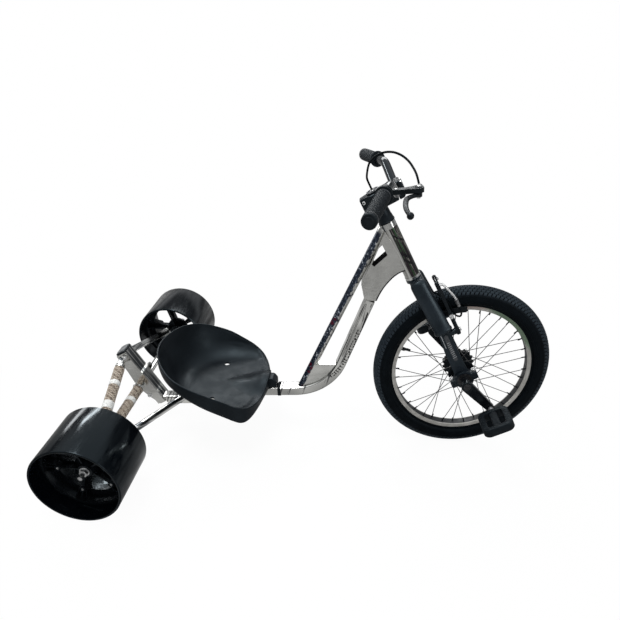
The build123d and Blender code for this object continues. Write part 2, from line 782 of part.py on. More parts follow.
lever_y = -183
lever_share = (-lever_y - bar_rise_point.Y) / (bar_end_point.Y - bar_rise_point.Y)
lever_root = steer_point(bar_rise_point.X + (bar_end_point.X - bar_rise_point.X) * lever_share, lever_y,
                         bar_rise_point.Z + (bar_end_point.Z - bar_rise_point.Z) * lever_share)
lever_droop = radians(25)  # the lever points this far below square to the steering axis
lever_out = axis_ahead * cos(lever_droop) - axis_up * sin(lever_droop)
lever_normal = axis_ahead * sin(lever_droop) + axis_up * cos(lever_droop)
perch_ring = 16
perch_half_width = 8
perch_low = -4
perch_high = 6


def lever_plane(height):
    """Plane of the lever: local x ahead from the bar's middle, local y to the left."""
    return Plane(origin=lever_root + lever_normal * height, x_dir=lever_out, z_dir=lever_normal)


def lever_point(ahead, left, height):
    """Point in the lever's own frame."""
    return lever_root + lever_out * ahead + Vector(0, left, 0) + lever_normal * height


with BuildPart() as perch:
    with BuildSketch(Plane(origin=lever_root - Vector(0, perch_half_width, 0), x_dir=lever_out, z_dir=(0, 1, 0))):
        Circle(perch_ring)
    extrude(amount=2 * perch_half_width)
    with BuildSketch(lever_plane(perch_low)):
        with BuildLine():
            Polyline((8, -8), (8, 8), (44, 14), (68, 28), (81, 28), (82, 4), (74, -5), (30, -8), close=True)
        make_face()
    extrude(amount=perch_high - perch_low)
    with BuildSketch(Plane(origin=lever_point(75, 27, 2), x_dir=lever_out, z_dir=(0, 1, 0))):
        Circle(5.5)
    extrude(amount=9)
    add(bar_hole.part, mode=Mode.SUBTRACT)
keep_front(perch, "brake_lever_perch", parked_bar)

blade_radius = 4.3
ball_radius = 7.5
with BuildLine() as blade_path:
    FilletPolyline(lever_point(71, 8, -9), lever_point(53, -14, -7), lever_point(40, -40, -9),
                   lever_point(37, -84, -12), lever_point(43, -120, -18), radius=14)
with BuildPart() as blade:
    with BuildSketch(Plane(origin=blade_path.line @ 0, z_dir=blade_path.line % 0)):
        Circle(blade_radius)
    sweep(path=blade_path.line)
    with BuildSketch(lever_plane(-14)):
        with Locations((71, 9)):
            Circle(7.5)
    extrude(amount=14 + perch_low)
    with Locations(Plane(origin=blade_path.line @ 1)):
        Sphere(ball_radius)
keep_front(blade, "brake_lever", parked_bar)

# ---------------------------------------------------------------- fork
leg_top = Vector(4, 36, 314)
leg_bottom = Vector(12.5, 61, 163)
leg_half_depth = 20.5
leg_half_width = 13
leg_wall = 2.5
blade_inner = 47
blade_outer = 61
blade_half_depth = 20
clamp_inner = 44
clamp_outer = 70
bearing_radius = 20
clamp_half_depth = 26
clamp_ear = 39
ear_height = 9
boss_ahead = 42
boss_along = 147
boss_y = 55
arm_thickness = 11


def leg_axis(side):
    """Ends of the middle line of one upper fork leg."""
    top = steer_point(leg_top.X, side * leg_top.Y, leg_top.Z)
    bottom = steer_point(leg_bottom.X, side * leg_bottom.Y, leg_bottom.Z)
    return top, bottom


with BuildPart() as leg_envelope:
    for side in (1, -1):
        top, bottom = leg_axis(side)
        with BuildSketch(Plane(origin=bottom, x_dir=axis_ahead, z_dir=top - bottom)):
            Ellipse(leg_half_depth, leg_half_width)
        extrude(amount=(top - bottom).length)

with BuildPart() as upper_legs:
    for side in (1, -1):
        top, bottom = leg_axis(side)
        with BuildSketch(Plane(origin=bottom, x_dir=axis_ahead, z_dir=top - bottom)):
            Ellipse(leg_half_depth, leg_half_width)
            Ellipse(leg_half_depth - leg_wall, leg_half_width - leg_wall, mode=Mode.SUBTRACT)
        extrude(amount=(top - bottom).length)
keep_front(upper_legs, "fork_upper_legs")

with BuildPart() as crown:
    with BuildSketch(front_view):
        with BuildLine():
            Polyline((-20, crown_top), (20, crown_top), (34, crown_top - 3), (44, crown_top - 12), (50, 290),
                     (50, 276), (31, 276), (25, crown_bottom), (-25, crown_bottom), (-31, 276), (-50, 276),
                     (-50, 290), (-44, crown_top - 12), (-34, crown_top - 3), close=True)
        make_face()
    extrude(amount=18, both=True)
    add(leg_envelope.part, mode=Mode.SUBTRACT)
    add(steerer_hole.part, mode=Mode.SUBTRACT)
keep_front(crown, "fork_crown")

hub_ahead = axle_offset
with BuildPart() as fork_blades:
    for side in (1, -1):
        with BuildSketch(Plane(origin=axis_foot + Vector(0, side * blade_inner, 0), x_dir=axis_ahead, z_dir=(0, -1, 0))):
            with BuildLine():
                Polyline((hub_ahead - blade_half_depth, 0), (hub_ahead + blade_half_depth, 0),
                         (leg_bottom.X + blade_half_depth, 178), (leg_bottom.X - blade_half_depth, 178), close=True)
            make_face()
        extrude(amount=-side * (blade_outer - blade_inner))
        with BuildSketch(Plane(origin=axis_foot + Vector(0, side * clamp_inner, 0), x_dir=axis_ahead, z_dir=(0, -1, 0))):
            with Locations((hub_ahead, 0)):
                Circle(clamp_half_depth)
            with Locations((hub_ahead, ear_height / 2)):
                Rectangle(2 * clamp_ear, ear_height)
        extrude(amount=-side * (clamp_outer - clamp_inner))
        with BuildSketch(Plane(origin=steer_point(boss_ahead, side * boss_y, boss_along), x_dir=(0, 1, 0), z_dir=-axis_ahead)):
            Circle(8)
        extrude(amount=boss_ahead - leg_bottom.X)
        with BuildSketch(Plane(origin=steer_point(boss_ahead, side * boss_y, boss_along), x_dir=(0, 1, 0), z_dir=axis_ahead)):
            Circle(4)
        extrude(amount=arm_thickness)
    with BuildSketch(side_view):
        with Locations((hub_ahead, -50)):
            Rectangle(120, 100)
    extrude(amount=100, both=True, mode=Mode.SUBTRACT)
    with BuildSketch(side_view):
        with Locations((hub_ahead, 0)):
            Circle(bearing_radius)
    extrude(amount=100, both=True, mode=Mode.SUBTRACT)
    add(leg_envelope.part, mode=Mode.SUBTRACT)
keep_front(fork_blades, "fork_blades")

with BuildPart() as clamp_caps:
    for side in (1, -1):
        with BuildSketch(Plane(origin=axis_foot + Vector(0, side * clamp_inner, 0), x_dir=axis_ahead, z_dir=(0, -1, 0))):
            with Locations((hub_ahead, 0)):
                Circle(clamp_half_depth)
            with Locations((hub_ahead, -ear_height / 2)):
                Rectangle(2 * clamp_ear, ear_height)
            with Locations((hub_ahead, 0)):
                Circle(bearing_radius, mode=Mode.SUBTRACT)
            with Locations((hub_ahead, 50)):
                Rectangle(120, 100, mode=Mode.SUBTRACT)
        extrude(amount=-side * (clamp_outer - clamp_inner))
keep_front(clamp_caps, "axle_clamp_caps")

# ---------------------------------------------------------------- crank, bearings and pedals
spindle_radius = 10
crank_length = 102
crank_inner = 95
crank_outer = 110
crank_droop = 40.5  # the right arm points ahead and this far down, degrees
crank_boss = 16
crank_eye = 11.5
pin_radius = 5
pedal_middle = 172
pedal_length = 88  # along its pin
pedal_depth = 84
pedal_height = 26
pedal_tilt = 29  # the front edge of each pedal stands this far up, degrees

with BuildPart() as bearings:
    for side in (1, -1):
        with BuildSketch(Plane(origin=front_hub + Vector(0, side * clamp_inner, 0), x_dir=(1, 0, 0), z_dir=(0, side, 0))):
            Circle(bearing_radius)
            Circle(spindle_radius + running_gap, mode=Mode.SUBTRACT)
        extrude(amount=clamp_outer - clamp_inner)
keep_front(bearings, "axle_bearings")

with BuildPart() as spindle:
    with BuildSketch(Plane(origin=front_hub, x_dir=(1, 0, 0), z_dir=(0, -1, 0))):
        Circle(spindle_radius)
    extrude(amount=crank_outer, both=True)
keep_front(spindle, "crank_spindle")


def crank_tip(side, y):
    """Centre of one crank arm's pedal eye at this distance from the middle."""
    reach = -side * crank_length
    return front_hub + Vector(reach * cos(radians(crank_droop)), side * y, -reach * sin(radians(crank_droop)))


with BuildPart() as crank_arms:
    for side in (1, -1):
        tip = crank_tip(side, 0) - front_hub
        with BuildSketch(Plane(origin=front_hub + Vector(0, side * crank_inner, 0), x_dir=(1, 0, 0), z_dir=(0, -1, 0))):
            Circle(crank_boss)
            with Locations((tip.X, tip.Z)):
                Circle(crank_eye)
            make_hull()
            Circle(spindle_radius, mode=Mode.SUBTRACT)
        extrude(amount=-side * (crank_outer - crank_inner))
        with BuildSketch(Plane(origin=crank_tip(side, crank_outer), x_dir=(1, 0, 0), z_dir=(0, side, 0))):
            Circle(pin_radius)
        extrude(amount=pedal_middle + pedal_length / 2 - crank_outer)
keep_front(crank_arms, "crank_arms")

tilted = Vector(cos(radians(pedal_tilt)), 0, sin(radians(pedal_tilt)))
tilted_up = Vector(-sin(radians(pedal_tilt)), 0, cos(radians(pedal_tilt)))
for side, hand in ((1, "left"), (-1, "right")):
    with BuildPart() as pedal:
        with BuildSketch(Plane(origin=crank_tip(side, pedal_middle), x_dir=tilted, z_dir=tilted_up)):
            RectangleRounded(pedal_depth, pedal_length, 20)
            with GridLocations(36, 1, 2, 1):
                RectangleRounded(16, pedal_length - 24, 5, mode=Mode.SUBTRACT)
        extrude(amount=pedal_height / 2, both=True)
        with BuildSketch(Plane(origin=crank_tip(side, pedal_middle), x_dir=(1, 0, 0), z_dir=(0, -1, 0))):
            Circle(pin_radius + running_gap)
        extrude(amount=pedal_length, both=True, mode=Mode.SUBTRACT)
    keep_front(pedal, f"pedal_{hand}")

# ---------------------------------------------------------------- front wheel
rim_radius = 204
rim_floor = 188
rim_half_width = 16
rim_wall = 2.5
bead_inner = 9.5
bead_low = 197
# Half of the tyre's section, as distances from the wheel's middle plane and in from the tread.
tyre_outside = [(17, 48.7), (23.5, 45), (25, 36), (24, 22), (19.5, 10.5), (11.5, 3.1), (0, 0)]
tyre_inside = [(11, 45), (20, 42.5), (22, 35), (21, 23), (17, 13.1), (10.1, 6.5), (0, 3.3)]


def tyre_side(points):
    """The points of a tyre line from one edge over the crown to the other."""
    near = [(y, tyre_radius - depth) for y, depth in points]
    return near + [(-y, radius) for y, radius in near[-2::-1]]


with BuildPart() as tyre:
    with BuildSketch(wheel_section):
        with BuildLine():
            outer_line = Spline(*tyre_side(tyre_outside))
            inner_line = Spline(*tyre_side(tyre_inside))
            bead_top = rim_radius + 0.3
            for side, outer_end, inner_end in ((1, outer_line @ 0, inner_line @ 0), (-1, outer_line @ 1, inner_line @ 1)):
                Polyline(outer_end, (side * (rim_half_width - rim_wall), bead_top),
                         (side * (rim_half_width - rim_wall), bead_low), (side * bead_inner, bead_low), inner_end)
        make_face()
    revolve(axis=across)
keep_front(tyre, "front_tyre")

with BuildPart() as rim_part:
    with BuildSketch(wheel_section):
        with Locations((0, (rim_radius + rim_floor) / 2)):
            Rectangle(2 * rim_half_width, rim_radius - rim_floor)
        with Locations((0, (rim_radius + rim_floor) / 2 + rim_wall)):
            Rectangle(2 * (rim_half_width - rim_wall), rim_radius - rim_floor, mode=Mode.SUBTRACT)
    revolve(axis=across)
keep_front(rim_part, "front_rim")

hub_shell = 22
flange_radius = 38
flange_middle = 28
flange_half = 1.5
hub_end = 36
hub_end_radius = 17
with BuildPart() as hub:
    with BuildSketch(wheel_section):
        with BuildLine():
            Polyline((-hub_end, 0), (-hub_end, hub_end_radius), (-flange_middle - flange_half, hub_shell),
                     (-flange_middle - flange_half, flange_radius), (-flange_middle + flange_half, flange_radius),
                     (-flange_middle + flange_half, hub_shell), (flange_middle - flange_half, hub_shell),
                     (flange_middle - flange_half, flange_radius), (flange_middle + flange_half, flange_radius),
                     (flange_middle + flange_half, hub_shell), (hub_end, hub_end_radius), (hub_end, 0), close=True)
        make_face()
        Rectangle(2 * hub_end, 2 * (spindle_radius + running_gap), mode=Mode.SUBTRACT)
    revolve(axis=across)
keep_front(hub, "front_hub")

spoke_radius = 1
spokes_a_side = 18
spoke_phase = 3
spoke_offset = 1.1  # spokes leave each flange alternately this far to either side of its middle


def wheel_point(radius, angle, y):
    """Point on the front wheel, its angle measured from straight ahead towards the top."""
    return front_hub + Vector(radius * cos(radians(angle)), y, radius * sin(radians(angle)))


spoke_step = 360 / spokes_a_side
with BuildPart() as spokes:
    for side in (1, -1):
        for index in range(spokes_a_side):
            leading = index % 2
            angle = spoke_phase + index * spoke_step + (spoke_step / 2 if side == 1 else 0)
            rim_angle = angle + (3 if leading else -3) * spoke_step
            hub_y = side * (flange_middle + (spoke_offset if leading else -spoke_offset))
            start = wheel_point(flange_radius - 1, angle, hub_y)
            end = wheel_point(rim_floor + 0.5, rim_angle, side * (6 if leading else 2))
            with BuildSketch(Plane(origin=start, z_dir=end - start)):
                Circle(spoke_radius)
            extrude(amount=(end - start).length)
    add(rim_part.part, mode=Mode.SUBTRACT)
    add(hub.part, mode=Mode.SUBTRACT)
keep_front(spokes, "front_spokes")

# ---------------------------------------------------------------- brake
arm_root_low = 137
right_arm_top = 282
left_arm_top = 274
arm_middle_ahead = boss_ahead + arm_thickness / 2
stud_radius = 3.5
pad_radius = (rim_radius + rim_floor) / 2 + 1
stud_along = sqrt(pad_radius**2 - (arm_middle_ahead - hub_ahead) ** 2)
pad_inner = 18.5
pad_outer = 28
arm_inner = 40
stud_outer = 66

pad_low = 189
pad_high = 202
with BuildPart() as brake_pads:
    for side in (1, -1):
        with BuildSketch(Plane(origin=axis_foot + Vector(0, side * pad_inner, 0), x_dir=axis_ahead, z_dir=(0, -1, 0))):
            with BuildLine():
                low = CenterArc((hub_ahead, 0), pad_low, 75, 15)
                high = CenterArc((hub_ahead, 0), pad_high, 75, 15)
                Line(low @ 0, high @ 0)
                Line(low @ 1, high @ 1)
            make_face()
        extrude(amount=-side * (pad_outer - pad_inner))
        with BuildSketch(Plane(origin=axis_foot + Vector(0, side * pad_outer, 0), x_dir=axis_ahead, z_dir=(0, -1, 0))):
            with Locations((arm_middle_ahead, stud_along)):
                Circle(stud_radius)
        extrude(amount=-side * (stud_outer - pad_outer))
keep_front(brake_pads, "brake_pads")

noodle_radius = 3
noodle_y = -50
noodle_along = right_arm_top + noodle_radius - 1.5
ferrule_ahead = 76
ferrule_top = 229
ferrule_bottom = 206
ferrule_radius = 4.5
wire_radius = 1
boot_radius = 4
noodle_tip = steer_point(arm_middle_ahead, -34, noodle_along)
wire_anchor = steer_point(arm_middle_ahead, 54, left_arm_top - 5)
with BuildLine() as noodle_path:
    FilletPolyline(noodle_tip, steer_point(arm_middle_ahead, noodle_y, noodle_along),
                   steer_point(62, noodle_y, noodle_along + 1), steer_point(71, noodle_y, 254),
                   steer_point(ferrule_ahead, noodle_y, ferrule_top), radius=[6, 10, 60])
with BuildPart() as noodle:
    with BuildSketch(Plane(origin=noodle_path.line @ 0, z_dir=noodle_path.line % 0)):
        Circle(noodle_radius)
    sweep(path=noodle_path.line)
    with BuildSketch(steer_plane(ferrule_bottom, ferrule_ahead, noodle_y)):
        Circle(ferrule_radius)
    extrude(amount=ferrule_top - ferrule_bottom)
    wire_plane = Plane(origin=noodle_tip, z_dir=wire_anchor - noodle_tip)
    with BuildSketch(wire_plane):
        Circle(boot_radius)
    extrude(amount=34)
    with BuildSketch(wire_plane):
        Circle(wire_radius)
    extrude(amount=(wire_anchor - noodle_tip).length)
keep_front(noodle, "brake_noodle")

with BuildPart() as brake_arms:
    for side, top in ((1, left_arm_top), (-1, right_arm_top)):
        with BuildSketch(Plane(origin=axis_foot + axis_ahead * boss_ahead, x_dir=(0, 1, 0), z_dir=axis_ahead)):
            with BuildLine():
                Polyline((side * 46, arm_root_low), (side * arm_inner, 172), (side * arm_inner, 235),
                         (side * 43, top), (side * 58, top), (side * 57, top - 16), (side * 51, 240),
                         (side * 56, 205), (side * 66, 160), (side * 64, arm_root_low), close=True)
            make_face()
            with Locations((side * boss_y, boss_along)):
                Circle(4, mode=Mode.SUBTRACT)
        extrude(amount=arm_thickness)
    with BuildSketch(side_view):
        with Locations((arm_middle_ahead, stud_along)):
            Circle(stud_radius)
    extrude(amount=100, both=True, mode=Mode.SUBTRACT)
    add(noodle.part, mode=Mode.SUBTRACT)
keep_front(brake_arms, "brake_arms")

# The cable runs from the lever over the bar, down through the steerer, out under the crown, round beside
# the tyre and up into the noodle's ferrule.
barrel_end = lever_point(75, 36, 2)
barrel_ahead = (barrel_end - axis_foot).dot(axis_ahead)
barrel_along = (barrel_end - axis_foot).dot(axis_up)
cable_route = [
    bar_point(barrel_ahead, barrel_end.Y, barrel_along),
    bar_point(barrel_ahead, barrel_end.Y + 10, barrel_along),
    bar_point(110.5, -124, 580),
    bar_point(107, -106, 604),
    bar_point(98, -91, 621),
    bar_point(84, -77, 634),
    bar_point(65, -63, 641.5),
    bar_point(42, -49, 641),
    bar_point(24, -35, 633),
    bar_point(10, -20, 615),
    bar_point(1, -8, 599),
    steer_point(0, 0, 584),
    steer_point(0, 0, 284),
    steer_point(8, -9, 270),
    steer_point(29, -25, 266),
    steer_point(46, -33, 249),
    steer_point(54, -34, 222),
    steer_point(56, -34.5, 198),
    steer_point(58, -37, 180),
    steer_point(69, -45, 174),
    steer_point(ferrule_ahead, noodle_y, 188),
    steer_point(ferrule_ahead, noodle_y, ferrule_bottom),
]
cable_radii = []
for before, corner, after in zip(cable_route, cable_route[1:], cable_route[2:]):
    turn = radians((corner - before).get_angle(after - corner))
    shorter = min((corner - before).length, (after - corner).length)
    cable_radii.append(0.45 * shorter / tan(turn / 2))
print("smallest bend of the brake cable, mm:", round(min(cable_radii), 1))

with BuildLine() as cable_path:
    FilletPolyline(*cable_route, radius=cable_radii)
with BuildPart() as cable:
    with BuildSketch(Plane(origin=cable_path.line @ 0, z_dir=cable_path.line % 0)):
        Circle(cable_radius)
    sweep(path=cable_path.line)
keep_front(cable, "brake_cable")
cable_length = sum(edge.length for edge in cable_path.line.edges())
print("brake cable volume share:", round(cable.part.volume / (pi * cable_radius**2 * cable_length), 3))

os.makedirs("parts", exist_ok=True)
for name, piece in pieces.items():
    export_step(piece, f"parts/{name}.step")
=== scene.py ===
"""Looks of the drift trike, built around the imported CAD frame. Metres, +X forward, +Y left, +Z up."""

import json
import math
import random

import bmesh
import bpy
from mathutils import Matrix, Vector
from mathutils.geometry import convex_hull_2d


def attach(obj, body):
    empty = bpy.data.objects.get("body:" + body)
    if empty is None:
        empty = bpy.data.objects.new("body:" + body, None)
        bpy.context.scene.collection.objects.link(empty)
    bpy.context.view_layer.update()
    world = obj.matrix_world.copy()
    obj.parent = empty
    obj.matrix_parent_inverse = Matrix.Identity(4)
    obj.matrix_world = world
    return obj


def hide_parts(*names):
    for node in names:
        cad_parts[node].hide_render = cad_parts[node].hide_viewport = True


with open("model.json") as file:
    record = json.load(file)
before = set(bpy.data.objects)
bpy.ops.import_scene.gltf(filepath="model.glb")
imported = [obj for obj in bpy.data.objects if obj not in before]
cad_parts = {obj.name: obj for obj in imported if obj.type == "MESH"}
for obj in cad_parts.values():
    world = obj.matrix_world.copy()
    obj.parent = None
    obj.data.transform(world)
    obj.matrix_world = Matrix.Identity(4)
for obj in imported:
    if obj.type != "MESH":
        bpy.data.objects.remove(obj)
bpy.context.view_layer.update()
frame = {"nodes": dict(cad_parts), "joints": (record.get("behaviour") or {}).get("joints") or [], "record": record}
nodes = frame["nodes"]
scene = bpy.context.scene
chance = random.Random(7)


def placed(name, data):
    """New object around the data, in the scene."""
    thing = bpy.data.objects.new(name, data)
    scene.collection.objects.link(thing)
    return thing


def mesh_from(name, shape):
    """Mesh made from a finished bmesh, which is freed."""
    mesh = bpy.data.meshes.new(name)
    bmesh.ops.recalc_face_normals(shape, faces=shape.faces)
    shape.to_mesh(mesh)
    shape.free()
    return mesh


def polar(radius, degrees):
    """The (x, y) of a point at this radius and angle."""
    turn = math.radians(degrees)
    return radius * math.cos(turn), radius * math.sin(turn)


# ---------------------------------------------------------------- camera
camera_data = bpy.data.cameras.new("camera")
camera_data.sensor_width = 36
camera_data.lens = 31.89
camera_data.shift_x = -0.0282
camera_data.shift_y = 0.1484
camera_data.clip_end = 50
camera = placed("camera", camera_data)
camera.location = (0.09455, -1.3976, 1.0747)
azimuth, elevation, roll = math.radians(2.59), math.radians(34.98), math.radians(2.94)
back = Vector((math.sin(azimuth) * math.cos(elevation), -math.cos(azimuth) * math.cos(elevation),
               math.sin(elevation)))
level_right = Vector((math.cos(azimuth), math.sin(azimuth), 0))
right = level_right * math.cos(roll) + back.cross(level_right) * math.sin(roll)
camera.rotation_euler = Matrix((right, back.cross(right), back)).transposed().to_euler()
scene.camera = camera
scene.view_settings.view_transform = "Standard"

# ---------------------------------------------------------------- material helpers
cool = (0.72, 0.9, 1, 1)


class Nodes:
    """Short ways to add shader nodes to one node tree."""

    def __init__(self, tree):
        self.tree = tree
        self.coords = None

    def node(self, kind, **settings):
        made = self.tree.nodes.new("ShaderNode" + kind)
        for key, value in settings.items():
            setattr(made, key, value)
        return made

    def link(self, source, target):
        """Link a socket, or set a plain number or colour."""
        if hasattr(source, "links"):
            self.tree.links.new(source, target)
        else:
            target.default_value = source

    def math(self, operation, *values):
        made = self.node("Math", operation=operation)
        for source, target in zip(values, made.inputs):
            self.link(source, target)
        return made.outputs[0]

    def noise(self, scale, detail=4, stretch=(1, 1, 1), coords=None, rough=0.5):
        mapping = self.node("Mapping")
        mapping.inputs["Scale"].default_value = stretch
        self.link(coords or self.coords, mapping.inputs["Vector"])
        made = self.node("TexNoise")
        made.inputs["Scale"].default_value = scale
        made.inputs["Detail"].default_value = detail
        made.inputs["Roughness"].default_value = rough
        self.link(mapping.outputs[0], made.inputs["Vector"])
        return made.outputs["Fac"]

    def steps(self, source, low, high, start=0.0, end=1.0):
        """Smooth change from start to end as source goes from low to high."""
        made = self.node("MapRange", interpolation_type="SMOOTHSTEP")
        for value, target in zip((source, low, high, start, end), made.inputs):
            self.link(value, target)
        return made.outputs[0]

    def mix(self, factor, first, second):
        """Colour between two colours or sockets."""
        made = self.node("Mix", data_type="RGBA")
        self.link(factor, made.inputs["Factor"])
        for source, target in ((first, made.inputs[6]), (second, made.inputs[7])):
            self.link((*source, 1) if isinstance(source, tuple) else source, target)
        return made.outputs[2]

    def seen(self):
        """Light path outputs, and 1 for a ray from the camera, a reflection or a transmission."""
        path = self.node("LightPath").outputs
        share = self.math("MAXIMUM", path["Is Camera Ray"], path["Is Glossy Ray"])
        return path, self.math("MAXIMUM", share, path["Is Transmission Ray"])

    def blend(self, share, first, second, output):
        """Feed a blend of two shaders to the tree's output."""
        both = self.node("MixShader")
        for source, target in zip((share, first, second), both.inputs):
            self.link(source, target)
        self.link(both.outputs[0], output.inputs["Surface"])


class Paint(Nodes):
    """A node material under construction around one Principled shader."""

    def __init__(self, name, color, rough, metallic=0.0, gloss=0.5, tint=(1, 1, 1, 1)):
        self.material = bpy.data.materials.new(name)
        self.material.use_nodes = True
        super().__init__(self.material.node_tree)
        self.shader = self.tree.nodes["Principled BSDF"]
        self.coords = self.node("TexCoord").outputs["Object"]
        self.height = None
        settings = {"Base Color": (*color, 1), "Roughness": rough, "Metallic": metallic,
                    "Specular IOR Level": gloss, "Specular Tint": tint}
        for key, value in settings.items():
            self.shader.inputs[key].default_value = value

    def color(self, share, first, second):
        """Base colour between two colours or sockets."""
        self.link(self.mix(share, first, second), self.shader.inputs["Base Color"])

    def rough(self, source, low, high, top=0.7):
        """Roughness that goes from low to high with a noise."""
        self.link(self.steps(source, 0.3, top, low, high), self.shader.inputs["Roughness"])

    def bump(self, source, distance, strength=1.0):
        """Add a height, in metres for a source of 1, to the surface's bump."""
        made = self.node("Bump")
        made.inputs["Strength"].default_value = strength
        made.inputs["Distance"].default_value = distance
        self.link(source, made.inputs["Height"])
        if self.height:
            self.link(self.height, made.inputs["Normal"])
        self.height = made.outputs[0]
        self.link(self.height, self.shader.inputs["Normal"])

    def along(self, point, direction):
        """Distance of the surface point from the given point, measured along a direction."""
        shifted = self.node("VectorMath", operation="SUBTRACT")
        self.link(self.coords, shifted.inputs[0])
        shifted.inputs[1].default_value = point
        dot = self.node("VectorMath", operation="DOT_PRODUCT")
        self.link(shifted.outputs[0], dot.inputs[0])
        dot.inputs[1].default_value = direction
        return dot.outputs["Value"]

    def joined(self, x, y):
        """Coordinates made of two numbers."""
        made = self.node("CombineXYZ")
        self.link(x, made.inputs[0])
        self.link(y, made.inputs[1])
        return made.outputs[0]


def mottled(name, dark, light, rough, metallic=0.0, scale=60, grain=0.0, grain_scale=900, rough_span=0.08,
            **shine):
    """Material whose colour and roughness vary softly, with an optional fine grain."""
    paint = Paint(name, light, rough, metallic, **shine)
    paint.color(paint.steps(paint.noise(scale), 0.3, 0.7), dark, light)
    paint.rough(paint.noise(scale * 2.7, 6), rough - rough_span, rough + rough_span)
    if grain:
        paint.bump(paint.noise(grain_scale, 2), grain)
    return paint


def cool_black(name, dark, light, rough, gloss, **more):
    """Dark mottled finish whose gloss has a cool tint."""
    return mottled(name, dark, light, rough, gloss=gloss, tint=cool, **more)


# ---------------------------------------------------------------- world, lamps and floor
# White to the camera. Reflections meet a studio of pale and dark bands, with uneven edges.
world = bpy.data.worlds.new("world")
scene.world = world
world.use_nodes = True
world.node_tree.nodes.clear()
sky = Nodes(world.node_tree)
sky_way = sky.node("TexCoord").outputs["Generated"]
sky_split = sky.node("SeparateXYZ")
sky.link(sky_way, sky_split.inputs[0])
sky_height = sky.math("MULTIPLY_ADD", sky.noise(2.6, 2, coords=sky_way), 0.5, sky_split.outputs["Z"])
sky_ramp = sky.node("ValToRGB")
sky.link(sky_height, sky_ramp.inputs[0])
sky_bands = [(0.0, 0.3), (0.3, 0.12), (0.42, 0.5), (0.55, 0.1), (0.7, 0.2), (0.85, 0.75), (1.0, 1.0)]
while len(sky_ramp.color_ramp.elements) < len(sky_bands):
    sky_ramp.color_ramp.elements.new(0.5)
for element, (position, level) in zip(sky_ramp.color_ramp.elements, sky_bands):
    element.position = position
    element.color = (level * 0.96, level * 0.98, level, 1)
sky_path, sky_seen = sky.seen()
sky_lights = []
for color, strength in (((0.93, 0.97, 1, 1), 0.5),
                        (sky.mix(sky_path["Is Glossy Ray"], (1, 1, 1), sky_ramp.outputs["Color"]), 1)):
    background = sky.node("Background")
    sky.link(color, background.inputs["Color"])
    background.inputs["Strength"].default_value = strength
    sky_lights.append(background.outputs[0])
sky.blend(sky_seen, *sky_lights, sky.node("OutputWorld"))


def lamp(name, place, target, size, watts):
    """Soft rectangular lamp at place, aimed at target."""
    data = bpy.data.lights.new(name, "AREA")
    data.shape = "RECTANGLE"
    data.size, data.size_y = size
    data.energy = watts
    thing = placed(name, data)
    thing.location = place
    thing.rotation_euler = (Vector(target) - Vector(place)).to_track_quat("-Z", "Y").to_euler()


lamp("key", (-0.7, -0.3, 2.4), (-0.1, 0, 0.2), (1.4, 0.8), 30)
lamp("fill", (1.9, -1.5, 1.5), (0.2, 0, 0.3), (1.2, 1.0), 12)
lamp("rim", (-0.4, 2.2, 1.8), (0, 0, 0.3), (2.0, 0.6), 20)
lamp("streak", (-1.3, 1.0, 1.445), (-0.546, -0.38, 0.229), (0.62, 0.2), 8)
lamp("soft_streak", (-1.93, 0.98, 0.784), (-0.58, -0.38, 0.226), (0.5, 0.3), 3)

# A round pale floor. It fades to plain white away from the trike, and looks patchy in reflections.
floor_shape = bmesh.new()
bmesh.ops.create_circle(floor_shape, cap_ends=True, segments=96, radius=30)
floor = placed("floor", mesh_from("floor", floor_shape))
ground = Paint("floor", (0.93, 0.93, 0.93), 0.9)
ground_path, ground_seen = ground.seen()
glow = ground.node("Emission")
patches = ground.steps(ground.noise(3.2, 3), 0.35, 0.65, 0.4, 0.86)
dimmed = ground.math("MULTIPLY", ground_path["Is Glossy Ray"], patches)
ground.link(ground.math("SUBTRACT", 1.0, dimmed), glow.inputs["Strength"])
distance = ground.node("VectorMath", operation="LENGTH")
ground.link(ground.coords, distance.inputs[0])
white_share = ground.steps(distance.outputs["Value"], 0.25, 1.15, 0.95, 1.0)
ground.blend(ground.math("MULTIPLY", ground_seen, white_share), ground.shader.outputs[0], glow.outputs[0],
             ground.tree.nodes["Material Output"])
floor.data.materials.append(ground.material)


# ---------------------------------------------------------------- frames to build in
class Axes:
    """Right-handed axes in space. Places in them are given in millimetres."""

    def __init__(self, origin, x, y, z):
        self.origin, self.x, self.y, self.z = Vector(origin), Vector(x), Vector(y), Vector(z)

    def __call__(self, x, y, z):
        return self.origin + (self.x * x + self.y * y + self.z * z) * 0.001

    def at(self, x, y, z, x_axis=(1, 0, 0), z_axis=(0, 0, 1)):
        """Axes with their origin at a place in these, and x and z along the given directions in these."""
        to_space = Matrix((self.x, self.y, self.z)).transposed()
        z_way = (to_space @ Vector(z_axis)).normalized()
        x_way = to_space @ Vector(x_axis)
        x_way = (x_way - z_way * x_way.dot(z_way)).normalized()
        return Axes(self(x, y, z), x_way, z_way.cross(x_way), z_way)

    def sideways(self, x=0, y=0, z=0, side=1):
        """Axes at a place in these, with z to the left, or to the right for a side of -1."""
        return self.at(x, y, z, z_axis=(0, side, 0))

    def ahead(self, x, y, z):
        """Axes at a place in these, with z forward."""
        return self.at(x, y, z, x_axis=(0, 1, 0), z_axis=(1, 0, 0))

    def tilted(self, x, y, z, angle):
        """Axes at a place in these, with the front turned up by an angle in degrees."""
        ahead, rise = polar(1, angle)
        return self.at(x, y, z, x_axis=(ahead, 0, rise), z_axis=(-rise, 0, ahead))


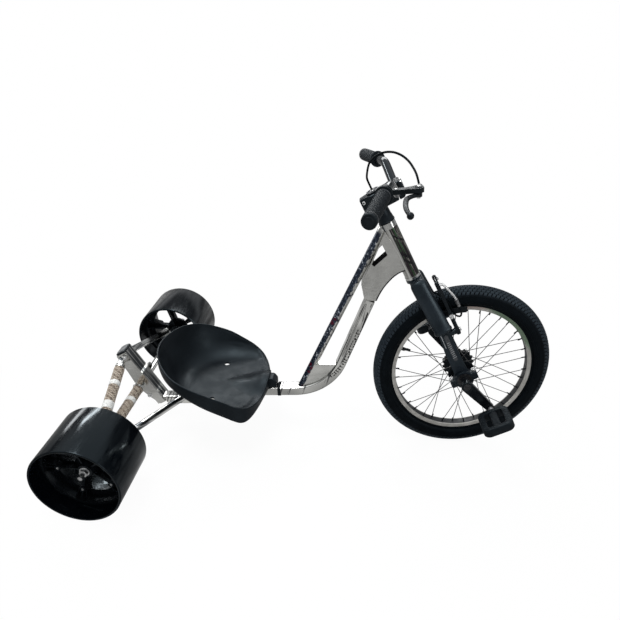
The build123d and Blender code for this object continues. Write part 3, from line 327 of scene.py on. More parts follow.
joints = {joint["name"]: joint for joint in frame["joints"]}
up = Vector(joints["steering_turn"]["axis"]).normalized()
foot = Vector(joints["steering_turn"]["pos_m"]) - up * 0.396
fork_left = Vector(joints["front_wheel_spin"]["axis"]).normalized()
hub = Vector(joints["front_wheel_spin"]["pos_m"])
front_axle = hub.x * 1000
fork = Axes(foot, fork_left.cross(up), fork_left, up)
wheel = Axes(hub, fork.x, fork.y, up)
bar_turn = Matrix.Rotation(math.radians(-2), 3, up)
bars = Axes(foot, bar_turn @ fork.x, bar_turn @ fork.y, up)
crank_turn = Matrix.Rotation(math.radians(4), 3, up)
crank = Axes(hub, crank_turn @ Vector((1, 0, 0)), fork_left, crank_turn @ Vector((0, 0, 1)))
space = Axes((0, 0, 0), (1, 0, 0), (0, 1, 0), (0, 0, 1))
rear_hub = Vector(joints["rear_wheel_left_spin"]["pos_m"]) * 1000
rear = space.at(rear_hub.x, 0, rear_hub.z)
post = space.tilted(front_axle - 929, 0, 104, 31)
steering, trike = "steering_assembly", "trike_frame"


# ---------------------------------------------------------------- mesh helpers
def arc(x, y, radius, angles):
    """Outline points on a circle about (x, y), at these angles in degrees."""
    return [(x + across, y + rise) for across, rise in (polar(radius, angle) for angle in angles)]


def mirrored(profile):
    """A (radius, along) profile followed by its mirror image."""
    return profile + [(radius, -along) for radius, along in reversed(profile)]


def between(value, pairs):
    """Straight-line value between the two pairs that enclose the given one."""
    for (low, start), (high, end) in zip(pairs, pairs[1:]):
        if value <= high:
            break
    return start + (end - start) * (value - low) / (high - low)


def catmull(a, b, c, d, steps):
    """Catmull-Rom points from b up to, but without, c."""
    for t in (step / steps for step in range(steps)):
        square, cube = 2 * a - 5 * b + 4 * c - d, 3 * b - a - 3 * c + d
        yield 0.5 * (2 * b + (c - a) * t + square * t * t + cube * t ** 3)


def smooth_path(points, steps=8):
    """Catmull-Rom line through the points."""
    points = [Vector(point) for point in points]
    padded = [points[0] * 2 - points[1], *points, points[-1] * 2 - points[-2]]
    line = []
    for four in zip(padded, padded[1:], padded[2:], padded[3:]):
        line += catmull(*four, steps)
    return line + [points[-1]]


def corner_arc(before, corner, after, radius, steps):
    """Points that round the corner between its two neighbours."""
    back_way, on_way = (before - corner).normalized(), (after - corner).normalized()
    half_angle = back_way.angle(on_way) / 2
    middle = corner + (back_way + on_way).normalized() * (radius / math.sin(half_angle))
    reach = radius / math.tan(half_angle)
    first, last = corner + back_way * reach - middle, corner + on_way * reach - middle
    return [middle + first.slerp(last, step / steps).normalized() * radius for step in range(steps + 1)]


def filleted(points, radius, steps=10):
    """Line through the points with every corner rounded by the radius."""
    points = [Vector(point) for point in points]
    line = [points[0]]
    for before, corner, after in zip(points, points[1:], points[2:]):
        line += corner_arc(before, corner, after, radius, steps)
    return line + [points[-1]]


def rounded_outline(points, steps=5):
    """Outline through (x, y, radius) corners, each rounded by its radius, or sharp where that is 0."""
    outline = []
    for index, (x, y, radius) in enumerate(points):
        before, after = Vector(points[index - 1][:2]), Vector(points[(index + 1) % len(points)][:2])
        corner = Vector((x, y))
        outline += corner_arc(before, corner, after, radius, steps) if radius else [corner]
    return outline


def rounded_box(half_x, half_y, radius, steps=5):
    """Rounded rectangle about the middle."""
    return rounded_outline([(-half_x, -half_y, radius), (half_x, -half_y, radius), (half_x, half_y, radius),
                            (-half_x, half_y, radius)], steps)


def hull(circles, steps=28):
    """Convex outline around (x, y, radius) circles."""
    angles = [360 * step / steps for step in range(steps)]
    points = [spot for circle in circles for spot in arc(*circle, angles)]
    return [points[index] for index in convex_hull_2d(points)]


def section(axes, half_x, half_y, power=2.0, count=40):
    """Closed loop in the axes' xy plane, round for a power of 2 and squarer above it."""
    loop = []
    for step in range(count):
        c, s = polar(1, 360 * step / count)
        reach = (abs(c) ** power + abs(s) ** power) ** (-1 / power)
        loop.append(axes(half_x * c * reach, half_y * s * reach, 0))
    return loop


def rings(shape, loops, closed=False, material=0):
    """Skin equally long closed loops of points. Both ends are capped, unless the last joins the first."""
    rows = [[shape.verts.new(point) for point in loop] for loop in loops]
    pairs = list(zip(rows, rows[1:]))
    if closed:
        pairs.append((rows[-1], rows[0]))
    corners = [] if closed else [rows[0], rows[-1]]
    for low, high in pairs:
        for index in range(len(low)):
            after = (index + 1) % len(low)
            corners.append((low[index], low[after], high[after], high[index]))
    for face_corners in corners:
        shape.faces.new(face_corners).material_index = material


def turned(shape, axes, profile, count=48, closed=False, material=0):
    """Revolve (radius, along) points about the axes' z."""
    loops = [[axes(*polar(radius, 360 * step / count), along) for step in range(count)]
             for radius, along in profile]
    rings(shape, loops, closed, material)


def prism(shape, axes, outline, low, high, material=0):
    """Straight prism of an (x, y) outline from z low to z high."""
    rings(shape, [[axes(x, y, z) for x, y in outline] for z in (low, high)], material=material)


def ways_along(line):
    """Direction of a line at each of its points."""
    neighbours = zip(line[:1] + line[:-1], line[1:] + line[-1:])
    return [(after - before).normalized() for before, after in neighbours]


def tube(shape, path, radius, count=12):
    """Round tube along points in space. The radius, in millimetres, may be a function of the share."""
    normal = ways_along(path)[0].orthogonal()
    loops = []
    for index, (point, way) in enumerate(zip(path, ways_along(path))):
        normal = (normal - way * normal.dot(way)).normalized()
        size = radius(index / (len(path) - 1)) if callable(radius) else radius
        loops.append(section(Axes(point, normal, way.cross(normal), way), size, size, count=count))
    rings(shape, loops)


def bolt(shape, axes, head=5.0, height=5.0, socket=2.6):
    """Socket-head bolt standing on z = 0, with a round recess."""
    turned(shape, axes, [(head, 0), (head, height - 0.8), (head - 0.8, height), (socket + 0.6, height),
                         (socket, height - 0.5), (socket, height - 2.5), (0.2, height - 2.8)], 18)


def hexagon(shape, axes, across, low, high):
    """Hexagonal nut with chamfered corners."""
    radius = across / math.sqrt(3)
    worn = radius * 0.92
    turned(shape, axes, [(worn, low), (radius, low + 0.8), (radius, high - 0.8), (worn, high)], 6)


def finish_piece(name, shape, body, paints, replaces=(), smooth=35, bevel=None):
    """Turn a bmesh into a piece that rides on a body. Its edges may get a bevel, in millimetres."""
    mesh = mesh_from(name, shape)
    piece = placed(name, mesh)
    for paint in paints if isinstance(paints, list) else [paints]:
        mesh.materials.append(paint.material)
    if bevel:
        rounding = piece.modifiers.new("edges", "BEVEL")
        rounding.width = bevel * 0.001
        rounding.segments = 2
        rounding.limit_method = "ANGLE"
        rounding.angle_limit = math.radians(35)
        rounding.use_clamp_overlap = True
    if smooth:
        mesh.shade_smooth()
        mesh.set_sharp_from_angle(angle=math.radians(smooth))
    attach(piece, body)
    if replaces:
        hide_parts(*replaces)
    return piece


# ---------------------------------------------------------------- materials
chrome = mottled("chrome", (0.55, 0.56, 0.55), (0.68, 0.68, 0.66), 0.12, 1.0, scale=9, rough_span=0.06)
chrome.bump(chrome.noise(14, 2), 0.0006, 0.35)
bright = mottled("bright_metal", (0.62, 0.62, 0.62), (0.78, 0.78, 0.77), 0.3, 0.75, scale=200)
steel = mottled("plain_steel", (0.3, 0.3, 0.31), (0.45, 0.45, 0.46), 0.35, 1.0, scale=160)
dark_steel = mottled("dark_steel", (0.06, 0.06, 0.065), (0.12, 0.12, 0.125), 0.4, 1.0, scale=160)
spoke_metal = mottled("spoke_metal", (0.06, 0.06, 0.06), (0.13, 0.13, 0.13), 0.35, 1.0, scale=120)
black = cool_black("black_paint", (0.0018, 0.0024, 0.0035), (0.0045, 0.0055, 0.0075), 0.4, 0.25, scale=35,
                   grain=0.00002)
gloss_black = cool_black("gloss_black_paint", (0.0025, 0.003, 0.004), (0.006, 0.0065, 0.008), 0.22, 0.3,
                         scale=35)
rubber = cool_black("black_rubber", (0.004, 0.0045, 0.005), (0.009, 0.0095, 0.011), 0.75, 0.2, scale=90,
                    grain=0.00008)
cable_black = cool_black("cable_cover", (0.001, 0.0015, 0.002), (0.003, 0.004, 0.005), 0.6, 0.12, scale=20)
pedal_plastic = cool_black("pedal_plastic", (0.003, 0.004, 0.0055), (0.006, 0.0078, 0.01), 0.5, 0.2, scale=70,
                           grain=0.00006, grain_scale=1400)
cap_plastic = cool_black("cap_plastic", (0.005, 0.005, 0.0055), (0.012, 0.012, 0.013), 0.45, 0.3, scale=80,
                         grain=0.00004)
core_paint = cool_black("core_plastic", (0.0025, 0.003, 0.004), (0.007, 0.008, 0.01), 0.3, 0.22, scale=30,
                        grain=0.0003, grain_scale=40)

seat_paint = Paint("seat_plastic", (0.006, 0.007, 0.009), 0.42, gloss=0.24, tint=cool)
seat_paint.color(seat_paint.steps(seat_paint.noise(11, 5), 0.3, 0.7), (0.002, 0.003, 0.0045),
                 (0.005, 0.0068, 0.009))
seat_paint.rough(seat_paint.noise(26, 8), 0.36, 0.52)
seat_paint.bump(seat_paint.noise(1500, 2), 0.00012, 0.6)

sleeve_paint = Paint("sleeve_plastic", (0.004, 0.0045, 0.0055), 0.16, gloss=0.27, tint=cool)
scratches = sleeve_paint.steps(sleeve_paint.noise(14, 8, (18, 1, 18), rough=0.7), 0.62, 0.75)
sleeve_paint.color(scratches, (0.001, 0.0016, 0.0026), (0.009, 0.01, 0.013))
sleeve_paint.rough(sleeve_paint.noise(22, 8, (8, 1, 8), rough=0.7), 0.06, 0.24, top=0.75)
sleeve_paint.bump(sleeve_paint.noise(13, 3, (1, 0.35, 1)), 0.0022, 0.5)

slot_paints = {
    "frame_chrome": chrome, "headset_metal": chrome, "top_bar_finish": chrome, "cap_plastic": cap_plastic,
    "cover_weave": rubber, "black_paint": black, "plain_steel": steel, "seat_plastic": seat_paint,
    "black_rubber": rubber, "sleeve_plastic": sleeve_paint, "core_plastic": core_paint, "grip_rubber": rubber,
    "lever_paint": black, "pedal_plastic": pedal_plastic, "tyre_rubber": rubber, "rim_aluminium": bright,
    "spoke_steel": spoke_metal, "bright_steel": bright, "cable_cover": cable_black}


def repaint(paint, *names):
    """Give CAD nodes this material."""
    for name in names:
        nodes[name].data.materials.clear()
        nodes[name].data.materials.append(paint.material)


for part in frame["record"]["subparts"]:
    repaint(slot_paints[part["material_slot"]], part["node"])
repaint(dark_steel, "axle_bearings", "crank_spindle")

# ---------------------------------------------------------------- front wheel
across = wheel.sideways()
tyre_radius, tread_depth, tyre_bead = 253, 2.6, (199, 16)
tyre_half_section = [(0, 0), (4, 0.4), (8, 1.4), (11.5, 3.1), (15.5, 6.2), (19.2, 10.5), (21.6, 14.8),
                     (23.3, 19.5), (24.2, 24), (24.8, 30), (24.8, 36), (24.4, 41), (23.3, 44.8), (20.5, 47.6),
                     (17, 48.4)]
tread_row_edges = [-22.6, -18.6, -13.4, -7.8, -2.6, 2.6, 7.8, 13.4, 18.6, 22.6]
blocks_a_row, gutter = 128, 0.75


def crown_depth(y):
    """How far the tyre's surface lies in from its largest radius, at this distance from the middle."""
    return between(abs(y), tyre_half_section)


def off_wheel(face):
    """Distances of a face's middle from the wheel's middle plane and from its axle, in millimetres."""
    middle = (face.calc_center_median() - hub) * 1000
    aside = middle.dot(fork_left)
    return abs(aside), (middle - fork_left * aside).length


# Painted light and shade: the tread blocks get a much lighter rubber as a painted highlight on their tops. The
# grooves' floor gets a darker, duller rubber as painted shade.
tyre_paint = cool_black("tyre_rubber", (0.0004, 0.0009, 0.0017), (0.0013, 0.0022, 0.0036), 0.5, 0.12,
                        scale=45, grain=0.00006, grain_scale=1600)
tread_block_painted_highlight = cool_black("tread_block_painted_highlight", (0.0075, 0.011, 0.0155), (0.0135, 0.0185, 0.025), 0.55, 0.35,
                         scale=45, grain=0.00006)
tread_groove_painted_shade = mottled("tread_groove_painted_shade", (0.0005, 0.0006, 0.0008), (0.0015, 0.0018, 0.002), 0.9, scale=45,
                       gloss=0.03)
shape = bmesh.new()
profile = []
for y, depth in tyre_half_section:
    sunk = tread_depth if depth < 17 else (0.5 if depth < 22 else 0)
    profile.append((tyre_radius - depth - sunk, y))
turned(shape, across, profile[:1] + mirrored([*profile[1:], tyre_bead]), 160, closed=True)
# The grooves' floor takes the darker, duller rubber as painted shade.
for face in shape.faces:  # the grooves' floor
    aside, reach = off_wheel(face)
    if aside < 21.5 and reach > 232:
        face.material_index = 1
for half in (1, -1):
    for radius, out, wide in ((211.5, 24.2, 0.7), (216, 24.7, 0.5), (230, 24.2, 0.5)):
        turned(shape, across, [(radius - wide, half * (out - 0.6)), (radius, half * (out + 0.5)),
                               (radius + wide, half * (out - 0.6))], 160, closed=True)
for row, (first, last) in enumerate(zip(tread_row_edges, tread_row_edges[1:])):
    row_middle = (first + last) / 2
    half_angle = 180 / blocks_a_row * (0.7 if row in (0, len(tread_row_edges) - 2) else 0.8)
    lean = 0 if abs(row_middle) < 0.5 else math.copysign(0.15, row_middle)
    for block in range(blocks_a_row):
        middle = (block + row % 2 / 2) / blocks_a_row * 360
        loops = []
        for sink, grow in ((tread_depth + 0.4, 0.35), (0.25, 0.12), (0, -0.1)):
            low, high = first + gutter - grow, last - gutter + grow
            half_block = half_angle * (1 + grow * 0.12)
            loop = []
            for y, turn in ((low, -half_block), (high, -half_block), (high, half_block), (low, half_block)):
                angle = middle + turn + lean * (y - row_middle)
                ahead, rise = polar(tyre_radius - crown_depth(y) - sink, angle)
                loop.append(wheel(ahead, y, rise))
            loops.append(loop)
        rings(shape, loops, material=2)
finish_piece("front_tyre_treaded", shape, "front_wheel", [tyre_paint, tread_groove_painted_shade, tread_block_painted_highlight],
             ["front_tyre"], smooth=32)

# Painted reflections: the rim's colour turns green ahead of its top and pink at its top. These stand for something
# green and something pink that it mirrors.
rim_paint = Paint("rim_aluminium", (0.5, 0.49, 0.46), 0.38, 0.6)
rim_color = rim_paint.mix(rim_paint.steps(rim_paint.noise(40, 3), 0.3, 0.7), (0.4, 0.39, 0.36),
                          (0.55, 0.53, 0.5))
for angle, low, high, tint in ((92, 0.185, 0.2, (0.36, 0.29, 0.26)), (50, 0.166, 0.186, (0.17, 0.23, 0.16))):
    ahead, rise = polar(1, angle)
    share = rim_paint.steps(rim_paint.along(hub, (ahead, 0, rise)), low, high)
    rim_color = rim_paint.mix(share, rim_color, tint)
rim_paint.link(rim_color, rim_paint.shader.inputs["Base Color"])
rim_paint.rough(rim_paint.noise(300, 5), 0.3, 0.46)
rim_dark = mottled("rim_well", (0.006, 0.007, 0.009), (0.014, 0.016, 0.019), 0.45, scale=50)
shape = bmesh.new()
half_rim = [(190.5, 12.5), (191.4, 13.5), (203.4, 13.5), (204, 14.2), (204, 15.9), (203.5, 16), (190.2, 16),
            (189.2, 15.4), (188.4, 12), (188, 5)]
turned(shape, across, mirrored(half_rim), 180, closed=True)
for face in shape.faces:  # the rim's inner face and its well
    aside, reach = off_wheel(face)
    if reach < 188.6 or aside < 12.8:
        face.material_index = 1
finish_piece("front_rim_profiled", shape, "front_wheel", [rim_paint, rim_dark], ["front_rim"])


def rim_seat(radius, y, angle):
    """Axes on the rim's inner face at an angle about the hub, with z towards the hub."""
    ahead, rise = polar(1, angle)
    return crank.at(ahead * radius, y, rise * radius, x_axis=(0, 1, 0), z_axis=(-ahead, 0, -rise))


spokes_a_side = 18
shape = bmesh.new()
for side in (1, -1):
    for index in range(spokes_a_side):
        leading = index % 2
        angle = 360 / spokes_a_side * index + (13 if side == 1 else 3) + (60 if leading else -60)
        turned(shape, rim_seat(188.2, side * (6 if leading else 2), angle),
               [(2.6, -0.4), (2.6, 1.0), (1.9, 1.8), (1.9, 8), (1.5, 10.5), (1.1, 12)], 10)
finish_piece("spoke_nipples", shape, "front_wheel", rubber)

shape = bmesh.new()
turned(shape, rim_seat(188, 0, 162), [(5, 0), (5, 1), (3.4, 3), (3.2, 16), (3.4, 17), (3.9, 17.2), (3.9, 27),
                                      (3.2, 28.5)], 16)
finish_piece("tyre_valve", shape, "front_wheel", rubber)

teeth = 17
shape = bmesh.new()
turned(shape, across, [(10.4, -36), (16, -36), (17, -35), (17.5, -31), (21, -29.8), (38, -29.6), (38.4, -28),
                       (38, -26.6), (24, -26.2), (20.5, -22), (18, -12), (18, 12), (20.5, 22), (24, 26.2),
                       (38, 26.6), (38.4, 28), (38, 29.4), (24, 29.7), (24, 30.4), (10.4, 30.4)], 40,
       closed=True)
rings(shape, [[across(*polar((46, 46, 41, 41)[step % 4] - trim, 90 * (step - 0.5) / teeth), z)
               for step in range(teeth * 4)] for z, trim in ((30.6, 1.5), (31.4, 0), (34.2, 0), (35, 1.5))])
for index in range(12):
    turned(shape, across.at(*polar(28.5, 30 * index), 0), [(3.2, -30.6), (3.2, -29), (2.4, -29)], 8)
finish_piece("front_hub_toothed", shape, "front_wheel", black, ["front_hub"])

# ---------------------------------------------------------------- fork
hub_ahead = 8.6
leg_ahead, leg_out, leg_foot = 12.5, 61, 163
boss_out, boss_up = 55, 147
leg_paint = cool_black("fork_paint", (0.003, 0.0045, 0.007), (0.008, 0.0115, 0.0165), 0.34, 0.5, scale=12,
                       grain=0.00002, rough_span=0.05)

shape = bmesh.new()
crown_levels = ((270, 17, 44), (274, 19, 48), (282, 20, 49.5), (292, 20, 48.5), (300, 19.6, 45), (307, 19, 39),
                (312, 18, 31), (315, 16, 24))
rings(shape, [section(fork.at(3, 0, s), half_x, half_y, 2.6, 48) for s, half_x, half_y in crown_levels])
turned(shape, fork, [(19.5, 308), (21.5, 310), (21.5, 318), (19, 319.5)], 40)
for side in (1, -1):
    bottom = Vector((leg_ahead, side * leg_out, leg_foot))
    way = Vector((4, side * 34, 316)) - bottom
    leg = fork.at(*bottom, z_axis=way)
    length = way.length
    leg_sizes = ((-4, 0.9), (-2.5, 1.04), (-1, 1.1), (3, 1.11), (5.5, 1.09), (7, 1.02), (60, 1.02),
                 (100, 0.99), (length - 16, 0.98), (length - 8, 0.93), (length - 3, 0.8), (length, 0.6))
    rings(shape, [section(leg.at(0, 0, along), 22.6 * scale, 14.2 * scale) for along, scale in leg_sizes])
finish_piece("fork_crown_and_legs", shape, steering, leg_paint,
             ["fork_crown", "fork_upper_legs"], smooth=50)

shape = bmesh.new()
upright = fork.sideways(side=-1)
blade = [(hub_ahead - 20, 12), (hub_ahead + 20, 12), (hub_ahead + 18, 40), (hub_ahead + 17.5, 100),
         (leg_ahead + 17, 150), (leg_ahead + 17, 170), (leg_ahead - 17, 170), (leg_ahead - 17, 150),
         (hub_ahead - 17.5, 100), (hub_ahead - 18, 40)]
ear = rounded_outline([(39, 0.4, 0), (39, 11, 6), (24, 11, 0)], 4)
other_ear = rounded_outline([(-24, 11, 0), (-39, 11, 6), (-39, 0.4, 0)], 4)
half_clamp = [*ear, *arc(0, 0.4, 26, range(24, 157, 12)), *other_ear, *arc(0, 0.4, 20, range(180, -1, -15))]
for side in (1, -1):
    prism(shape, upright, blade, *sorted((-side * 47, -side * leg_out)))
    for half in (1, -1):
        clamp = [(hub_ahead + x, half * z) for x, z in half_clamp]
        prism(shape, upright, clamp, *sorted((-side * 44, -side * 70)))
    turned(shape, fork.ahead(24, side * boss_out, boss_up), [(8.5, 0), (8.5, 17), (7.5, 18)], 24)
finish_piece("fork_blades_and_clamps", shape, steering, leg_paint,
             ["fork_blades", "axle_clamp_caps"], smooth=30, bevel=2.2)

streak_paint = mottled("blade_streak", (0.2, 0.21, 0.22), (0.34, 0.35, 0.36), 0.4, scale=400)
panel_paint = mottled("blade_panel", (0.02, 0.022, 0.025), (0.06, 0.064, 0.07), 0.4, scale=500)
panels = bmesh.new()
streaks = bmesh.new()
for side in (1, -1):
    face = fork.sideways(0, -side * leg_out, 0, -side)
    for half, high, index, low_end, high_end in ((7.5, 0.9, 0, 62, 152), (5.6, 1.2, 1, 64, 150)):
        bow = arc(0, 0, half, range(0, 181, 20))
        loop = [(hub_ahead + 2 + side * x, low_end + half - y) for x, y in bow]
        loop += [(hub_ahead + 3.5 - side * x, high_end - half + y) for x, y in bow]
        prism(panels, face, loop, -0.2, high, index)
    prism(streaks, face, [(hub_ahead - 9.5, 112), (hub_ahead - 7.7, 112), (hub_ahead - 6.0, 158),
                          (hub_ahead - 8.6, 158)], -0.2, 0.35)
    for dash in range(9):
        low = 74 + dash * 6.2
        reach = 3.4 if dash % 3 else 5
        near, far = hub_ahead + 2 - reach, hub_ahead + 3 + reach
        prism(streaks, face, [(near, low), (far, low + 1.6), (far, low + 3.2), (near, low + 1.6)], 1.0, 1.5)
finish_piece("blade_panels", panels, steering, [leg_paint, panel_paint], smooth=30)
finish_piece("blade_streaks", streaks, steering, streak_paint, smooth=30)

shape = bmesh.new()
for side in (1, -1):
    for ahead in (-33, 33):
        bolt(shape, fork.at(hub_ahead + ahead, side * 57, 11), 6.2, 6, 3)
    turned(shape, fork.ahead(53.5, side * boss_out, boss_up),
           [(5.2, 0), (5.2, 3.2), (4.4, 4), (3, 4), (2.6, 2.4), (0.2, 2.2)], 20)
finish_piece("fork_bolts", shape, steering, bright)

# ---------------------------------------------------------------- brake
right_top, left_top = 282, 274
brake_ahead, stud_up, noodle_out = 47.5, 191.4, -50


def washer_and_nut(shape, axes, washer, facets, across_flats, stub):
    """Washer of this radius and roundness, nut and end of a stud, standing on z = 0."""
    turned(shape, axes, [(washer, 0), (washer, 1.2), (washer - 0.8, 1.6)], facets)
    hexagon(shape, axes, across_flats, 1.6, 6.2)
    turned(shape, axes, stub, 12)


def cable_spot(y):
    """Place on the straight cable between the two brake arms."""
    return fork(brake_ahead, y, 283 - (y + 36) * 0.155)


shape = bmesh.new()
for side, top in ((1, left_top), (-1, right_top)):
    path = [(55, 137, 8.2), (55, 147, 9), (53.5, 158, 8.4), (50, 176, 6.6), (47, 200, 6), (45.5, 225, 5.2),
            (46, 248, 5), (49, 262, 5.2), (50.5, top - 8, 6.2), (50.5, top, 5.6)]
    places = [Vector((brake_ahead, side * y, s)) for y, s, _ in path]
    rings(shape, [section(fork.at(*place, z_axis=way), 5.4, half, 3.5, 20)
                  for place, way, (_, _, half) in zip(places, ways_along(places), path)])
    turned(shape, fork.ahead(40.5, side * boss_out, boss_up), [(9.5, 0), (9.5, 12), (8.5, 13)], 28)
    turned(shape, fork.sideways(brake_ahead, side * 36, stud_up, side),
           [(4.5, 0), (6.2, 1), (6.2, 7), (7.6, 8), (7.6, 11), (6, 12), (6, 19)], 24)
    turned(shape, fork.sideways(brake_ahead, side * 40, top - 22, side), [(3, 0), (3, 16), (2.2, 17)], 16)
turned(shape, fork.at(brake_ahead, -56, right_top + 8, z_axis=(0, -0.2, 1)),
       [(3.5, -8), (5.2, -6), (5.5, 6), (4.4, 9), (2, 10)], 20)
turned(shape, fork.sideways(brake_ahead, 51, left_top - 5), [(4, -6), (6, -5), (6, 5), (4.5, 7)], 20)
finish_piece("brake_arm_set", shape, steering, gloss_black, ["brake_arms"], smooth=40)

shape = bmesh.new()
for side in (1, -1):
    for low, high, near, far, half_angle in ((189.5, 201.5, 17.6, 26, 14.7), (187.5, 203.5, 25.5, 29, 16.17)):
        loops = []
        for step in range(13):
            ahead, rise = polar(1, 81 + half_angle * (step / 6 - 1))
            loops.append([fork(hub_ahead + radius * ahead, side * y, radius * rise)
                          for radius, y in ((low, near), (low, far), (high, far), (high, near))])
        rings(shape, loops)
finish_piece("brake_pad_set", shape, steering, rubber, ["brake_pads"], smooth=30, bevel=0.8)

shape = bmesh.new()
for side in (1, -1):
    stud = fork.sideways(brake_ahead, side * 55.5, stud_up, side)
    washer_and_nut(shape, stud, 6.4, 20, 9.5, [(2.4, 6), (2.4, 10)])
hexagon(shape, fork.ahead(53.2, 49, left_top - 10), 8, 0, 4)
turned(shape, fork.ahead(53, noodle_out, right_top + 6), [(2, 0), (2, 7), (1.2, 8)], 12)
noodle = [(brake_ahead, -36, 283), (brake_ahead, -46, 284), (52, noodle_out, 285), (60.5, noodle_out, 282.5),
          (64.5, noodle_out, 273), (70.5, noodle_out, 254), (74.4, noodle_out, 240), (76, noodle_out, 228)]
tube(shape, smooth_path([fork(*spot) for spot in noodle], 6), 3, 14)
tube(shape, [cable_spot(y) for y in range(-2, 55, 8)], 1, 8)
finish_piece("brake_noodle_and_nuts", shape, steering, bright, ["brake_noodle"], smooth=40)

ferrule_paint = mottled("ferrule_grey", (0.1, 0.1, 0.1), (0.2, 0.2, 0.2), 0.4, 0.6, scale=300)
shape = bmesh.new()
profile = [(3.2, 229.5), (4.6, 228.5)]
for step in range(7):
    top = 226 - step * 2.8
    profile += [(4.6, top), (4.0, top - 0.6), (4.0, top - 1.4), (4.6, top - 2)]
turned(shape, fork.at(76, noodle_out, 0), profile + [(4.4, 206.4), (3, 206)], 20)
finish_piece("noodle_ferrule", shape, steering, ferrule_paint, smooth=30)

shape = bmesh.new()
tube(shape, [cable_spot(y) for y in (-35, -30, -24, -18, -12, -6, -2)],
     lambda share: 3.9 - 1.2 * share + 0.5 * math.sin(share * 40), 14)
turned(shape, fork.sideways(brake_ahead, -14, 262), [(3, -5), (5, -4), (5, 4), (3, 5)], 18)
finish_piece("noodle_boot", shape, steering, rubber, smooth=40)

# ---------------------------------------------------------------- crank arms
arm_length, droop = 102, 40.5
spindle_from, arm_from, spindle_to, pedal_out = 61, 95, 110, 172
hands = ((1, "left"), (-1, "right"))


def crank_tip(side):
    """How far ahead of the hub and above it the tip of one crank arm lies."""
    ahead, rise = polar(side * arm_length, droop)
    return -ahead, rise


shape = bmesh.new()
crank_bolts = bmesh.new()
for side in (1, -1):
    ahead, rise = crank_tip(side)
    face = crank.sideways(0, side * arm_from, 0, side)
    prism(shape, face, hull([(0, 0, 15.6), (ahead, -side * rise, 11.2)]), 0, 14.6)
    turned(shape, face, [(15.8, 0), (15.8, 13), (14.5, 15), (11.5, 15.4), (11, 14.4)], 36)
    turned(shape, crank.sideways(0, side * spindle_from, 0, side),
           [(12.5, 0), (12.5, 4), (11.5, 5), (11.5, 28), (13, 30), (13, 34)], 32)
    turned(crank_bolts, crank.sideways(0, side * spindle_to, 0, side),
           [(6.5, 0.0), (6.5, 0.8), (5.6, 1.2), (4.2, 1.2), (3.8, 0.3), (0.2, 0.2)], 28)
finish_piece("crank_arm_pair", shape, "crank_set", gloss_black, smooth=30, bevel=2.4)
finish_piece("crank_bolts", crank_bolts, "crank_set", dark_steel, smooth=30)

# ---------------------------------------------------------------- stem and headset cover
stem_low, stem_high = 520, 562
shape = bmesh.new()
prism(shape, bars, rounded_outline([(-38, -12, 4), (-10, -24, 8), (51, -24, 3), (51, 24, 3), (-10, 24, 8),
                                    (-38, 12, 4)]), stem_low, stem_high)
finish_piece("stem_block", shape, steering, gloss_black, ["stem"], bevel=3.5)

shape = bmesh.new()
plate = [(52.5, stem_low, 0), (65, stem_low, 6), (72, stem_low + 8, 5), (72, stem_high - 8, 5),
         (65, stem_high, 6), (52.5, stem_high, 0)]
prism(shape, bars.sideways(0, 24, 0, -1), rounded_outline(plate), 0, 48)
finish_piece("stem_clamp_plate", shape, steering, gloss_black, ["stem_face_plate"], bevel=2)

shape = bmesh.new()
for y in (-16, 16):
    for s in (527, 555):
        bolt(shape, bars.ahead(66.5, y, s), 4, 5.4, 2)
for s in (530, 552):
    bolt(shape, bars.at(-29, -14.2, s, z_axis=(-0.42, -0.9, 0)), 4.4, 3.4, 2.1)
bolt(shape, bars.at(0, 0, 566.2), 5, 1.6, 2.6)
finish_piece("stem_bolts", shape, steering, bright)

shape = bmesh.new()
turned(shape, bars, [(5.2, 567.2), (15.2, 567.2), (17.2, 565.6), (17.2, 562.1), (5.2, 562.1)], 40,
       closed=True)
turned(shape, fork, [(14.6, 481.4), (20.6, 481.4), (21.2, 482), (21.2, 485), (20.2, 486), (19.2, 496),
                     (18.4, 497), (18.2, 505), (17.2, 518), (17, 519.9), (14.6, 519.9)], 40, closed=True)
finish_piece("headset_cover_and_cap", shape, steering, black, ["headset_cover"], smooth=40)

# ---------------------------------------------------------------- handlebar, grips and brake lever
bar_paint = cool_black("bar_paint", (0.0015, 0.002, 0.003), (0.003, 0.004, 0.006), 0.13, 0.3, scale=20,
                       rough_span=0.03)
half_bar = [(-2.3, 346.8, 592.8), (50, 131, 586.6), (51, 40, 541)]
bar_line = filleted([(x, -y, z) for x, y, z in half_bar] + half_bar[::-1], 75)
shape = bmesh.new()
tube(shape, [bars(*point) for point in bar_line], 11.1, 32)
finish_piece("bent_handlebar", shape, steering, bar_paint, ["handlebar"], smooth=60)

